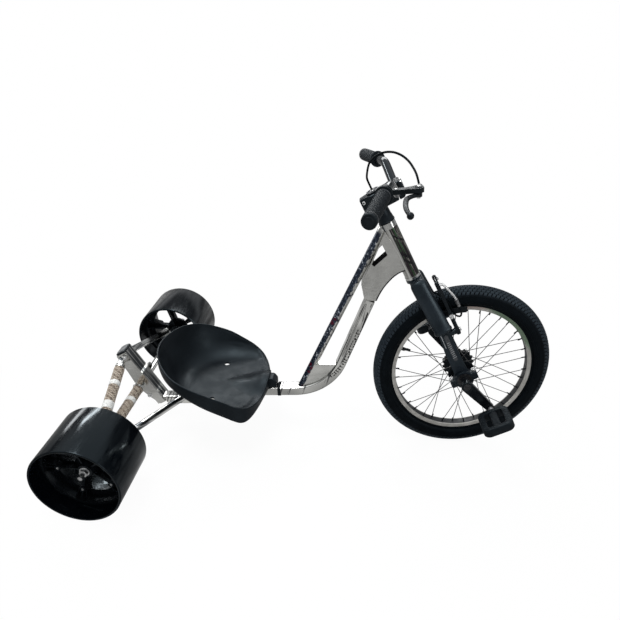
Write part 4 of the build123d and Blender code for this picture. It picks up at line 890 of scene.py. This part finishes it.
grip_paint = cool_black("grip_rubber", (0.0022, 0.0028, 0.004), (0.006, 0.007, 0.009), 0.62, 0.25, scale=90,
                        grain=0.00005)
grip_ring = mottled("grip_ring", (0.03, 0.032, 0.036), (0.075, 0.078, 0.085), 0.5, scale=90)
diamond_rows, diamonds_a_row = 29, 18
shape = bmesh.new()
for side in (1, -1):
    end, bend = (Vector((x, side * y, z)) for x, y, z in half_bar[:2])
    grip = bars.at(*end, z_axis=bend - end)
    turned(shape, grip, [(0.3, -4.9), (9, -4.9), (10, -4.2), (14.6, -4), (16.3, -2.2), (16.4, 4.5), (15.6, 5),
                         (15.6, 143.8), (16.4, 144), (20.2, 144.6), (20.4, 148.6), (19.4, 149.8),
                         (11.2, 149.9)])
    for low, high in ((6.5, 9.6), (138.2, 141.4)):
        turned(shape, grip, [(15, low), (16.5, low + 0.4), (16.5, high - 0.4), (15, high)], closed=True,
               material=1)
    for row in range(diamond_rows):
        for step in range(diamonds_a_row):
            angle, z = (step + row % 2 / 2) * 360 / diamonds_a_row, 14.1 + row * 4.3
            loops = []
            for radius, shrink in ((15.5, 1), (16.3, 0.92), (16.45, 0.8)):
                half_angle, half_length = 9.454 * shrink, 3.9 * shrink
                loops.append([grip(*polar(radius, angle + turn * half_angle), z + on * half_length)
                              for turn, on in ((-1, 0), (0, -1), (1, 0), (0, 1))])
            rings(shape, loops)
finish_piece("grip_pair", shape, steering, [grip_paint, grip_ring], ["grips"], smooth=32)

lever_black = cool_black("lever_black", (0.002, 0.0025, 0.003), (0.0045, 0.005, 0.006), 0.42, 0.25, scale=30)
lever = bars.tilted(37.4, -183, 588.1, -25)
pivot = lever.at(71, 9, 0)
shape = bmesh.new()
turned(shape, lever.sideways(), mirrored([(15.9, 7), (15.2, 7.8), (11.3, 7.8)]), 36, closed=True)
perch = [(10, -7.8, 1), (10, 7.8, 1), (44, 14, 8), (68, 28, 6), (81, 28, 3), (82, 4, 5), (74, -5, 5),
         (30, -8, 6)]
prism(shape, lever, rounded_outline(perch), -4, 6)
turned(shape, lever.sideways(-10, -0.5, 9), [(4, -6), (5, -5), (5, 5), (4, 6)], 16)
turned(shape, pivot, [(7.6, -4), (7.9, -3), (7.9, 6), (7, 7.4), (4, 7.4)], 24)
finish_piece("lever_perch", shape, steering, lever_black, ["brake_lever_perch"], bevel=1.4)

shape = bmesh.new()
line = smooth_path([(71, 8, -9), (64, -2, -8.4), (53, -14, -7.6), (43, -30, -8), (38.5, -55, -9.6),
                    (37, -84, -12), (39, -104, -15), (43, -120, -18)], 5)
loops = []
for index, (point, way) in enumerate(zip(line, ways_along(line))):
    share = index / (len(line) - 1)
    wide = 5.8 - 1.5 * share + 0.8 * math.sin(share * math.pi)
    loops.append(section(lever.at(*point, x_axis=(0.1, 0, 1), z_axis=way), 3.6, wide, 3, 18))
rings(shape, loops)
turned(shape, lever.at(43, -121, -18), arc(0, 0, 7.4, range(-85, 86, 17)), 24)
turned(shape, pivot, [(5, -14), (7.5, -13.4), (7.5, -4.2), (6, -4.1)], 24)
finish_piece("lever_blade", shape, steering, lever_black, ["brake_lever"], smooth=40)

shape = bmesh.new()
bolt(shape, lever.at(71, 9, 7), 4.4, 2.4, 2.2)
bolt(shape, lever.at(22, 0, 5.6), 3.4, 2.2, 1.6)
hexagon(shape, pivot, 8, -17, -13.6)
barrel = [(2.7, 27.5), (5.8, 27.5), (6.2, 28.2), (6.2, 30.6), (5.8, 31.3), (4.4, 31.6), (4.4, 35.2),
          (3.8, 35.8), (2.7, 35.8)]
turned(shape, lever.sideways(75, 0, 2), barrel, 24, closed=True)
finish_piece("lever_fittings", shape, steering, bright)

# ---------------------------------------------------------------- pedals
pins = bmesh.new()
for side, hand in hands:
    ahead, rise = crank_tip(side)
    turned(pins, crank.sideways(ahead, 0, rise, side),
           [(4.9, 96), (4.9, 109), (8.4, 110), (8.4, 113), (6.4, 114), (4.8, 116), (4.8, 215.9)], 24)
    platform = crank.tilted(ahead, side * pedal_out, rise, 29)
    shape = bmesh.new()
    outer, inner = rounded_box(42, 44, 19, 7), rounded_box(25, 31, 6, 7)
    cage = ((-1.6, -13, outer), (0, -10.5, outer), (0, 10.5, outer), (-1.6, 13, outer), (0, 13, inner),
            (0, -13, inner))
    rings(shape, [[platform(*(spot * (1 + grow / spot.length)), z) for spot in line]
                  for grow, z, line in cage], closed=True)
    prism(shape, platform, rounded_box(9.5, 32, 2, 2), -9.5, 10.5)
    half_barrel = [(10.4, 24), (12, 30), (12, 42), (10.5, 43.9), (5.6, 43.9)]
    turned(shape, platform.sideways(), mirrored(half_barrel), 28, closed=True)
    for x in (-32.5, 32.5):
        for y in range(-20, 21, 10):
            for z in (1, -1):
                prism(shape, platform.at(x, y, 11.9 * z, z_axis=(0, 0, z)),
                      [(-5.5, -2.4), (5.5, -2.4), (5.5, 2.4), (-5.5, 2.4)], 0, 1.9)
    finish_piece(f"pedal_body_shell_{hand}", shape, f"pedal_body_{hand}", pedal_plastic,
                 [f"pedal_{hand}"], smooth=32, bevel=0.9)
finish_piece("pedal_pins", pins, "crank_set", steel, ["crank_arms"])

# ---------------------------------------------------------------- seat
# Each level gives the outline's (behind the front axle, out from the middle) at one height.
seat_centre = Vector((715, 0))
seat_floor, seat_wall, seat_curve = 141, 5, 27
seat_levels = {
    seat_floor: [(563, 0), (574, 80), (592, 132), (618, 156), (665, 150), (725, 140), (782, 115), (818, 66),
                 (830, 0)],
    182: [(559, 0), (570, 90), (592, 150), (620, 178), (668, 180), (732, 172), (795, 143), (838, 84), (852, 0)],
    228: [(557, 0), (568, 92), (592, 158), (622, 186), (668, 197), (735, 192), (805, 164), (856, 96), (874, 0)],
    275: [(557, 0), (568, 92), (592, 160), (622, 187), (668, 198), (740, 198), (814, 172), (868, 92), (889, 0)]}
seat_rim = [(540, 151), (585, 152), (610, 165), (656, 191), (713, 217), (772, 237), (830, 257), (862, 266),
            (900, 268)]
seat_hem = [(530, 162), (557, 150), (575, 130), (597, 114), (617, 116), (638, 131), (727, 178), (804, 217),
            (837, 229), (900, 262)]


def level_line(height):
    """Closed smooth line of (behind, y) places at one height of the seat."""
    half = seat_levels[height]
    points = [Vector(spot) for spot in half + [(behind, -y) for behind, y in half[-2:0:-1]]]
    line = []
    for index in range(len(points)):
        line += catmull(*(points[(index + shift) % len(points)] for shift in (-1, 0, 1, 2)), 8)
    return line


level_lines = {height: level_line(height) for height in seat_levels}
around = range(len(level_lines[seat_floor]))


def shell(index, height, inset=0.0):
    """Place of the shell's outer face at one line up it, moved inward by the inset."""
    lines = [(level, line[index]) for level, line in level_lines.items()]
    spot = between(height, lines)
    return spot + (seat_centre - spot).normalized() * inset


def smooth_pair(value, pairs):
    """Value between pairs, eased by averaging over a short stretch."""
    stretch = [min(max(value + shift, pairs[0][0]), pairs[-1][0]) for shift in (-9, -4, 0, 4, 9)]
    return sum(between(near, pairs) for near in stretch) / len(stretch)


def pommel_rise(spot):
    """Height of the rounded hump between the rider's legs above the seat's floor."""
    behind, y = spot
    if behind > 690:
        return 0
    rise = smooth_pair(behind, [(540, 50), (556, 46), (628, 16), (690, 0), (700, 0)])
    half_width = between(behind, [(540, 115), (556, 108), (628, 62), (690, 24)])
    return rise * (0.5 + 0.5 * math.cos(math.pi * min(abs(y) / half_width, 1)))


floor_top = seat_floor + seat_wall
wall_foot = floor_top + seat_curve
edges = []
for index in around:
    behind = level_lines[228][index].x
    for _ in range(20):
        height = smooth_pair(behind, seat_rim)
        behind = shell(index, height).x
    rim = max(height, floor_top + pommel_rise(shell(index, height, seat_wall)) - 1)
    edges.append((index, rim, min(smooth_pair(shell(index, rim).x, seat_hem), rim - 7)))
seat_loops = []


def seat_loop(places):
    """Add a closed loop of ((behind, y), height) places to the seat's skin."""
    seat_loops.append([space(front_axle - spot.x, spot.y, height) for spot, height in places])


def raised(spot, height, share, low, high):
    """The spot and its height with a share of the pommel on it, kept between two heights."""
    return spot, max(min(height + pommel_rise(spot) * share, high), low)


flat_edge = [shell(index, seat_floor, seat_wall + seat_curve) for index in around]
for share in (0.004, 0.12, 0.25, 0.38, 0.5, 0.6, 0.7, 0.78, 0.85, 0.9):
    spots = [seat_centre.lerp(spot, share / 0.9) for spot in flat_edge]
    seat_loop((spot, floor_top + pommel_rise(spot)) for spot in spots)
for step in range(1, 7):
    across_share, up_share = polar(1, 15 * step)
    height = floor_top + seat_curve * (1 - across_share)
    seat_loop(raised(shell(index, height, seat_wall + seat_curve * (1 - up_share)), height, 1, 0, rim - 2)
              for index, rim, _ in edges)
for share in (0.2, 0.4, 0.6, 0.8, 0.92):
    heights = [wall_foot + (rim - 3 - wall_foot) * share for _, rim, _ in edges]
    seat_loop(raised(shell(index, height, seat_wall), height, 1 - share, floor_top, rim - 1.5)
              for height, (index, rim, _) in zip(heights, edges))
for inset, drop in ((5.2, 3), (4.9, 1.2), (4.2, 0.3), (3.0, 0), (1.8, 0.3), (0.7, 1.2), (0.3, 3), (0.3, 6)):
    seat_loop((shell(index, rim, inset), rim - drop) for index, rim, _ in edges)
for share in (0.33, 0.66, 0.92):
    seat_loop((shell(index, rim, 0.3), rim - 6 + (hem + 6 - rim) * share) for index, rim, hem in edges)
for inset, rise in ((1.2, 0.2), (2.6, 0), (4.0, 0.4), (4.6, 2)):
    seat_loop((shell(index, rim, inset), hem + rise) for index, rim, hem in edges)
seat_loop((shell(index, rim, 4.6), max(min(max(rim - 7, seat_floor + 2), rim - 6), hem + 2.2))
          for index, rim, hem in edges)
for share in (0.5, 1):
    places = []
    for index, rim, hem in edges:
        top = max(rim - 7, seat_floor + 2)
        height = top + (seat_floor - top) * share
        places.append((shell(index, height, 4.7 if height > hem else 0), height))
    seat_loop(places)
for share in (0.6, 0.2, 0.004):
    seat_loop((seat_centre.lerp(shell(index, seat_floor, 4.7), share), seat_floor) for index in around)
shape = bmesh.new()
rings(shape, seat_loops)
seat = finish_piece("seat_shell", shape, trike, seat_paint, ["bucket_seat"], smooth=50)

# Two bolt holes go through the seat's floor.
shape = bmesh.new()
for side in (1, -1):
    turned(shape, space.at(front_axle - 716, side * 100, 0), [(8.5, 130), (8.5, 175)], 28)
cutter = placed("cutter", mesh_from("cutter", shape))
holes = seat.modifiers.new("holes", "BOOLEAN")
holes.object = cutter
holes.operation = "DIFFERENCE"
bpy.context.view_layer.update()
cut_mesh = bpy.data.meshes.new_from_object(seat.evaluated_get(bpy.context.evaluated_depsgraph_get()))
seat.modifiers.clear()
seat.data = cut_mesh
bpy.data.objects.remove(cutter)
cut_mesh.shade_smooth()
cut_mesh.set_sharp_from_angle(angle=math.radians(50))

shape = bmesh.new()
nose = [(580, 147, 0), (580, 152, 0), (566, 178, 8), (548, 178, 8), (538, 166, 7), (537, 147, 3)]
nose = rounded_outline([(front_axle - behind, z, radius) for behind, z, radius in nose])
prism(shape, space.sideways(side=-1), nose, -19, 19)
finish_piece("seat_nose", shape, trike, seat_paint, smooth=50, bevel=7)

# ---------------------------------------------------------------- rear post cap and fastenings
cap_middle = mottled("cap_middle", (0.06, 0.065, 0.07), (0.16, 0.165, 0.17), 0.5, scale=300, grain=0.0001)
cap_rims = ((15.2, 24.7, 143), (15.5, 25, 144), (15.5, 25, 147.5), (14.6, 24.1, 149))
cap_domes = ((13, 22.5, 148.6), (12.6, 22, 150.2), (11, 20, 151.6), (7, 15, 152.8))
shape = bmesh.new()
for material, levels in enumerate((cap_rims, cap_domes)):
    rings(shape, [[post(x + 1, y, z) for x, y in rounded_box(half_x, half_y, 3, 3)]
                  for half_x, half_y, z in levels], material=material)
finish_piece("post_cap_lid", shape, trike, [cap_plastic, cap_middle], ["post_cap"], smooth=40)

plate_out, clamp_out, clamp_radius = 24.5, 31.5, 13
shape = bmesh.new()
for side in (1, -1):
    for x, z in ((-13.5, -11), (2, 128)):
        face = post.sideways(x, side * plate_out, z, side)
        washer_and_nut(shape, face, 7.5, 24, 10, [(2.8, 6), (2.8, 8.4), (2.2, 9)])
    for angle in (35, 145):
        ahead, rise = polar(clamp_radius, angle)
        seat_of_bolt = rear.at(ahead, side * clamp_out, rise, x_axis=(0, 1, 0), z_axis=(ahead, 0, rise))
        bolt(shape, seat_of_bolt, 3.2, 5.4, 1.8)
finish_piece("post_bolts", shape, trike, bright)

# ---------------------------------------------------------------- woven covers
weave_light = mottled("cover_weave_light", (0.4, 0.33, 0.26), (0.62, 0.54, 0.45), 0.8, scale=240)
weave_dark = mottled("cover_weave_dark", (0.06, 0.04, 0.028), (0.24, 0.17, 0.12), 0.85, scale=200)
weave_base = mottled("cover_weave_base", (0.03, 0.024, 0.02), (0.09, 0.07, 0.055), 0.9, scale=200)
tape = mottled("cover_tape", (0.5, 0.5, 0.48), (0.85, 0.85, 0.83), 0.5, scale=220)
strands, turn_length, strand_half = 9, 62, math.degrees(0.155)
strut_root, strut_tip = Vector((front_axle - 1001, -24.5, 210)), Vector((front_axle - 972, -281, 147))
strut_way = (strut_tip - strut_root) / (strut_root.y - strut_tip.y)
cover_from, cover_to = 62, 273
strut_start = strut_root + strut_way * (cover_from + strut_root.y)
for name, start, way, length, bands in (
        ("axle", (rear_hub.x, -39, 114.5), Vector((0, -1, 0)), 207, ((64, 9),)),
        ("strut", strut_start, strut_way, (cover_to - cover_from) * strut_way.length, ((64, 8), (147, 13)))):
    shape = bmesh.new()
    cover = space.at(*start, x_axis=(0.2, 0, 1), z_axis=way)
    turned(shape, cover, [(10.1, 0), (13.6, 0), (14.2, 0.8), (14.2, length - 0.8), (13.6, length),
                          (10.1, length)], 28, closed=True)
    count = int(length / turn_length * strands * 4)
    for weft in (1, -1):
        for index in range(strands):
            loops = []
            for share in (step / count for step in range(count + 1)):
                turn = 360 * share * length / turn_length
                radius = 14.35 + weft * 0.35 * math.cos(math.radians(strands * turn))
                middle, z = 360 / strands * index + weft * turn, 0.6 + share * (length - 1.2)
                loops.append([cover(*polar(radius + grow, middle + sway * strand_half), z)
                              for sway, grow in ((-1, -0.5), (-0.7, 0.25), (0.7, 0.25), (1, -0.5))])
            rings(shape, loops, material=2 if weft == -1 and index % 3 == 0 else 1)
    for place, half in bands:
        low, high = place - half, place + half
        turned(shape, cover, [(14.3, low), (15.3, low), (15.5, low + 2), (15.3, place), (15.5, high - 2),
                              (15.3, high), (14.3, high)], 28, closed=True, material=3)
    finish_piece(f"woven_cover_{name}", shape, trike, [weave_base, weave_light, weave_dark, tape],
                 ["braided_covers"], smooth=40)

shape = bmesh.new()
turned(shape, space.at(*(strut_start - strut_way), x_axis=(0.2, 0, 1), z_axis=-strut_way),
       [(10.2, 0), (13.5, 0), (14, 1), (14, 7), (12.8, 8.5), (12.8, 13), (11.5, 14.5), (10.2, 14.5)], 32,
       closed=True)
finish_piece("strut_collar", shape, trike, chrome, smooth=40)

# ---------------------------------------------------------------- rear sleeves and cores
wheel_middle, lug_radius = 382, 72
for side, hand in hands:
    body = f"rear_wheel_{hand}"
    drum = rear.sideways(0, side * wheel_middle, 0, side)
    shape = bmesh.new()
    turned(shape, drum, [(108.5, -90), (112.8, -90), (114.5, -88.4), (114.5, 87.6), (113.9, 89.2),
                         (112.6, 90), (110, 90), (108.9, 89.4), (108.5, 88.2)], 144, closed=True)
    finish_piece(f"sleeve_{hand}", shape, body, sleeve_paint, [f"rear_sleeve_{hand}"],
                 smooth=40)
    shape = bmesh.new()
    screws = bmesh.new()
    turned(shape, drum, [(17.5, 28), (24, 18), (27, 8), (28, 4), (16, 4)], 40, closed=True)
    for index in range(5):
        angle = 72 * index + 36
        lug = drum.at(*polar(lug_radius, angle), 0)
        turned(shape, lug, [(8.5, 3), (8.5, 27), (7.5, 28.5), (4.2, 28.5), (4.2, 22)], 24)
        bolt(screws, lug.at(0, 0, 24), 3.6, 3.6, 1.6)
        arm = drum.at(0, 0, 0, x_axis=(*polar(1, angle), 0))
        for gap in (-8.6, 8.6):
            prism(shape, arm, [(lug_radius, gap - 1.1), (107.8, gap * 1.75 - 1.1), (107.8, gap * 1.75 + 1.1),
                               (lug_radius, gap + 1.1)], 3, 26)
    finish_piece(f"core_ribs_{hand}", shape, body, core_paint, smooth=40, bevel=0.8)
    finish_piece(f"core_screws_{hand}", screws, body, bright, smooth=40)
    shape = bmesh.new()
    turned(shape, drum, [(8, 30.6), (12.6, 30.6), (13, 31), (13, 32), (12.6, 32.4), (8, 32.4)], 32,
           closed=True)
    hexagon(shape, drum, 19, 32.4, 40.3)
    turned(shape, drum, [(7.2, 40), (7.2, 41.4), (6, 41.6), (6, 58), (5.2, 58.3), (1.8, 58.3), (1.4, 57.2)], 24)
    finish_piece(f"axle_nut_{hand}", shape, trike, bright, smooth=30)


# ---------------------------------------------------------------- chrome of the frame
def streaked_chrome(name, streak_way, across_way, dark_share, stretch, low=(0.12, 0.13, 0.14),
                    high=(0.74, 0.74, 0.71)):
    """Chrome with painted reflections: its colour runs in long dark and light streaks along one direction."""
    paint = Paint(name, high, 0.14, 1.0)
    across_place = paint.math("MULTIPLY", paint.along((0, 0, 0), across_way), stretch)
    grain = paint.joined(across_place, paint.along((0, 0, 0), streak_way))
    # Painted reflections: the colour goes from dark to light in streaks, standing in for what the chrome mirrors.
    streaks = paint.math("MULTIPLY_ADD", paint.noise(7, 3), 0.45, paint.noise(5, 3, coords=grain, rough=0.6))
    paint.color(paint.steps(streaks, 0.62 + dark_share * 0.1, 0.62 + dark_share * 0.34), low, high)
    paint.rough(paint.noise(30, 4), 0.08, 0.22)
    paint.bump(paint.noise(16, 2), 0.0008, 0.4)
    return paint


clean_chrome = (0.72, 0.72, 0.69)
tube_ahead, tube_rise = polar(1, 72)
tube_up = (tube_ahead, 0, tube_rise)
plate_chrome = mottled("plate_chrome", (0.5, 0.5, 0.48), clean_chrome, 0.2, 1.0, scale=11, rough_span=0.06)
plate_chrome.bump(plate_chrome.noise(24, 3, (1, 1, 2.4)), 0.0012, 0.5)
repaint(plate_chrome, "neck_box", "lower_gusset", "post_side_plates")
# The frame's tubes, post, stays, struts and axle tube get chrome with painted streak reflections.
repaint(streaked_chrome("tube_chrome", tube_up, (tube_rise, 0, -tube_ahead), 0.02, 16, low=(0.2, 0.2, 0.2)),
        "main_tube", "rear_tube")
repaint(streaked_chrome("post_chrome", up, (0, 1, 0), 0.55, 26), "rear_post")
repaint(streaked_chrome("stay_chrome", (0.2, -0.98, 0), (0, 0.2, 1), 0.35, 22, high=(0.85, 0.85, 0.83)),
        "rear_stays", "rear_struts", "rear_axle_tube")

# The head tube carries a dark wrap with upright green and purple streaks on its front half.
wrap = Paint("head_wrap", (0.7, 0.7, 0.68), 0.16, 1.0)
ahead_place, height_place = wrap.along(foot, post.x), wrap.along(foot, up)
grain = wrap.joined(wrap.math("MULTIPLY", ahead_place, 34), wrap.math("MULTIPLY", height_place, 1.4))
fibres = wrap.noise(9, 3, coords=grain, rough=0.6)
wrap_color = wrap.mix(wrap.steps(wrap.noise(5, 1, coords=grain), 0.52, 0.6), (0.014, 0.009, 0.012),
                      (0.025, 0.06, 0.025))
wrap_color = wrap.mix(wrap.steps(fibres, 0.56, 0.66), wrap_color, (0.2, 0.19, 0.17))
wrap_color = wrap.mix(wrap.steps(fibres, 0.36, 0.43, 1, 0), wrap_color, (0.006, 0.006, 0.008))
slanted = wrap.math("MULTIPLY_ADD", ahead_place, 1.3, height_place)
for middle, half in ((0.397, 0.0055), (0.3775, 0.004), (0.448, 0.003)):
    offset = wrap.math("ABSOLUTE", wrap.math("SUBTRACT", slanted, middle))
    wrap_color = wrap.mix(wrap.steps(offset, half, half + 0.001, 1, 0), wrap_color, (0.004, 0.004, 0.005))
wrapped = wrap.steps(ahead_place, -0.0035, -0.0015)
plain = wrap.mix(wrap.steps(wrap.noise(9, 3, coords=grain), 0.4, 0.6), (0.42, 0.42, 0.4), clean_chrome)
wrap.color(wrapped, plain, wrap_color)
wrap.link(wrap.math("MULTIPLY_ADD", wrapped, -0.75, 1.0), wrap.shader.inputs["Metallic"])
repaint(wrap, "head_tube")

# The top bar has a speckled dark blue strip along its rear side.
strip = Paint("top_bar_strip", (0.7, 0.7, 0.68), 0.18, 1.0)
bar_foot = ((front_axle - 467) / 1000, 0, 0.138)
bar_rise = Vector((205, 0, 510)).normalized()
across_place = strip.along(bar_foot, (bar_rise.z, 0, -bar_rise.x))
along_place = strip.along(bar_foot, bar_rise)
edge = strip.math("MULTIPLY_ADD", strip.noise(120, 3), 0.009, across_place)
inside = strip.steps(edge, 0.0055, 0.0073, 1, 0)
speck = strip.noise(170, 5, (1, 1, 0.6), rough=0.7)
strip_color = strip.mix(strip.steps(speck, 0.5, 0.6), (0.012, 0.018, 0.032), (0.06, 0.078, 0.11))
strip_color = strip.mix(strip.steps(strip.math("MULTIPLY_ADD", strip.noise(60, 3), 0.5, speck), 0.84, 0.92),
                        strip_color, (0.5, 0.53, 0.57))
cells = strip.node("TexVoronoi")
cells.inputs["Scale"].default_value = 48
strip.link(strip.coords, cells.inputs["Vector"])
low_part = strip.steps(strip.math("ABSOLUTE", strip.math("SUBTRACT", along_place, 0.16)), 0.1, 0.16, 1, 0)
red_dots = strip.math("MULTIPLY", strip.steps(cells.outputs["Distance"], 0.26, 0.32, 1, 0), low_part)
red_dots = strip.math("MULTIPLY", red_dots, strip.steps(strip.noise(22, 1), 0.46, 0.5))
bare = strip.mix(strip.steps(strip.noise(70, 4), 0.55, 0.66), clean_chrome, (0.05, 0.05, 0.07))
strip_color = strip.mix(red_dots, strip.mix(inside, bare, strip_color), (0.07, 0.004, 0.018))
covered = strip.steps(along_place, 0.53, 0.545, 1, 0)
strip.color(covered, clean_chrome, strip_color)
strip.link(strip.math("MULTIPLY_ADD", strip.math("MULTIPLY", inside, covered), -0.5, 1.0),
           strip.shader.inputs["Metallic"])
repaint(strip, "top_bar")

# Painted shade: a dark strip stands for the shade inside the opening of the neck box.
opening_shade_black = mottled("opening_shade_black", (0.0008, 0.0008, 0.001), (0.002, 0.002, 0.0024), 0.9, scale=60,
                       gloss=0.03)
shade_strip_width, window_middle = 2.8, Vector((264, 578))
window_corner = Vector((277, 548))
shape = bmesh.new()
opening_plane = space.at(front_axle, 0, 0, x_axis=(-1, 0, 0), z_axis=(0, 1, 0))
for end in (Vector((246, 581)), Vector((284, 553))):
    inward = (end - window_corner).normalized().orthogonal() * shade_strip_width
    if inward.dot(window_middle - window_corner) < 0:
        inward = -inward
    prism(shape, opening_plane, [window_corner, end, end + inward, window_corner + inward], -16.6, 16.6)
finish_piece("neck_opening_painted_shade", shape, trike, opening_shade_black, smooth=None)

# A dark line edges the arched underside of the neck box on both sides.
ink = mottled("decal_ink", (0.003, 0.003, 0.004), (0.012, 0.01, 0.012), 0.5, scale=120, gloss=0.2)
arch = [(197, 543.2), (210, 536.5), (224, 524.6), (236, 509.5), (247, 492.4), (256, 473.5), (263.5, 453)]
shape = bmesh.new()
for side in (1, -1):
    tube(shape, smooth_path([space(front_axle - behind, side * 16, z) for behind, z in arch], 6), 2, 10)
finish_piece("neck_arch_dark_lines", shape, trike, ink, smooth=50)

# ---------------------------------------------------------------- plain decal on the down tube
# Dark strokes lie along the tube's near side. They stand for the decal and spell nothing.
tube_bend, bend_end = 160, 129
tube_side = space.at(front_axle - 378, -19, 148, x_axis=tube_up, z_axis=(0, -1, 0))
decal = bmesh.new()


def tube_spot(place, across):
    """Place on the near side of the down tube, measured along the tube from the corner of its bend."""
    if place < bend_end:
        turn = (bend_end - place) / tube_bend
        place = bend_end - (tube_bend + across) * math.sin(turn)
        across = (tube_bend + across) * math.cos(turn) - tube_bend
    return place, -across


def stroke(*corners):
    """Thin dark shape through these (place, across) corners on the tube."""
    prism(decal, tube_side, [tube_spot(place, across) for place, across in corners], -0.1, 0.3)


def block(start, end, low, high, lean=0):
    """Four-cornered stroke whose high side may lean on along the tube."""
    stroke((start, low), (end, low), (end + lean, high), (start + lean, high))


place = 50.0
while place < 222:
    wide = 5 + chance.random() * 3
    tall = 4.6 + chance.random() * 1.4
    slant = 1 + chance.random() * 2
    kind = chance.random()
    middle = 4.5 + place * 0.012
    low, high = middle - tall, middle + tall
    if kind < 0.4:
        block(place, place + 2.8, low, high, slant)
        block(place + 2, place + wide, low, low + 2.6)
    elif kind < 0.75:
        block(place, place + wide, low, low + 2.6)
        block(place + slant, place + wide + slant, high - 2.8, high)
    else:
        stroke((place, middle), (place + wide / 2, low), (place + wide, middle), (place + wide / 2, high))
    place += wide + 2.6
stroke((222, 12.4), (240, 13), (282, 10), (288, 5.6), (240, 9))
stroke((240, 5.5), (262, 4), (312, -6), (276, 0))
for across_low in (-9.4, -6.4):
    block(130, 308, across_low, across_low + 1.2)
finish_piece("down_tube_decal", decal, trike, ink, smooth=None)
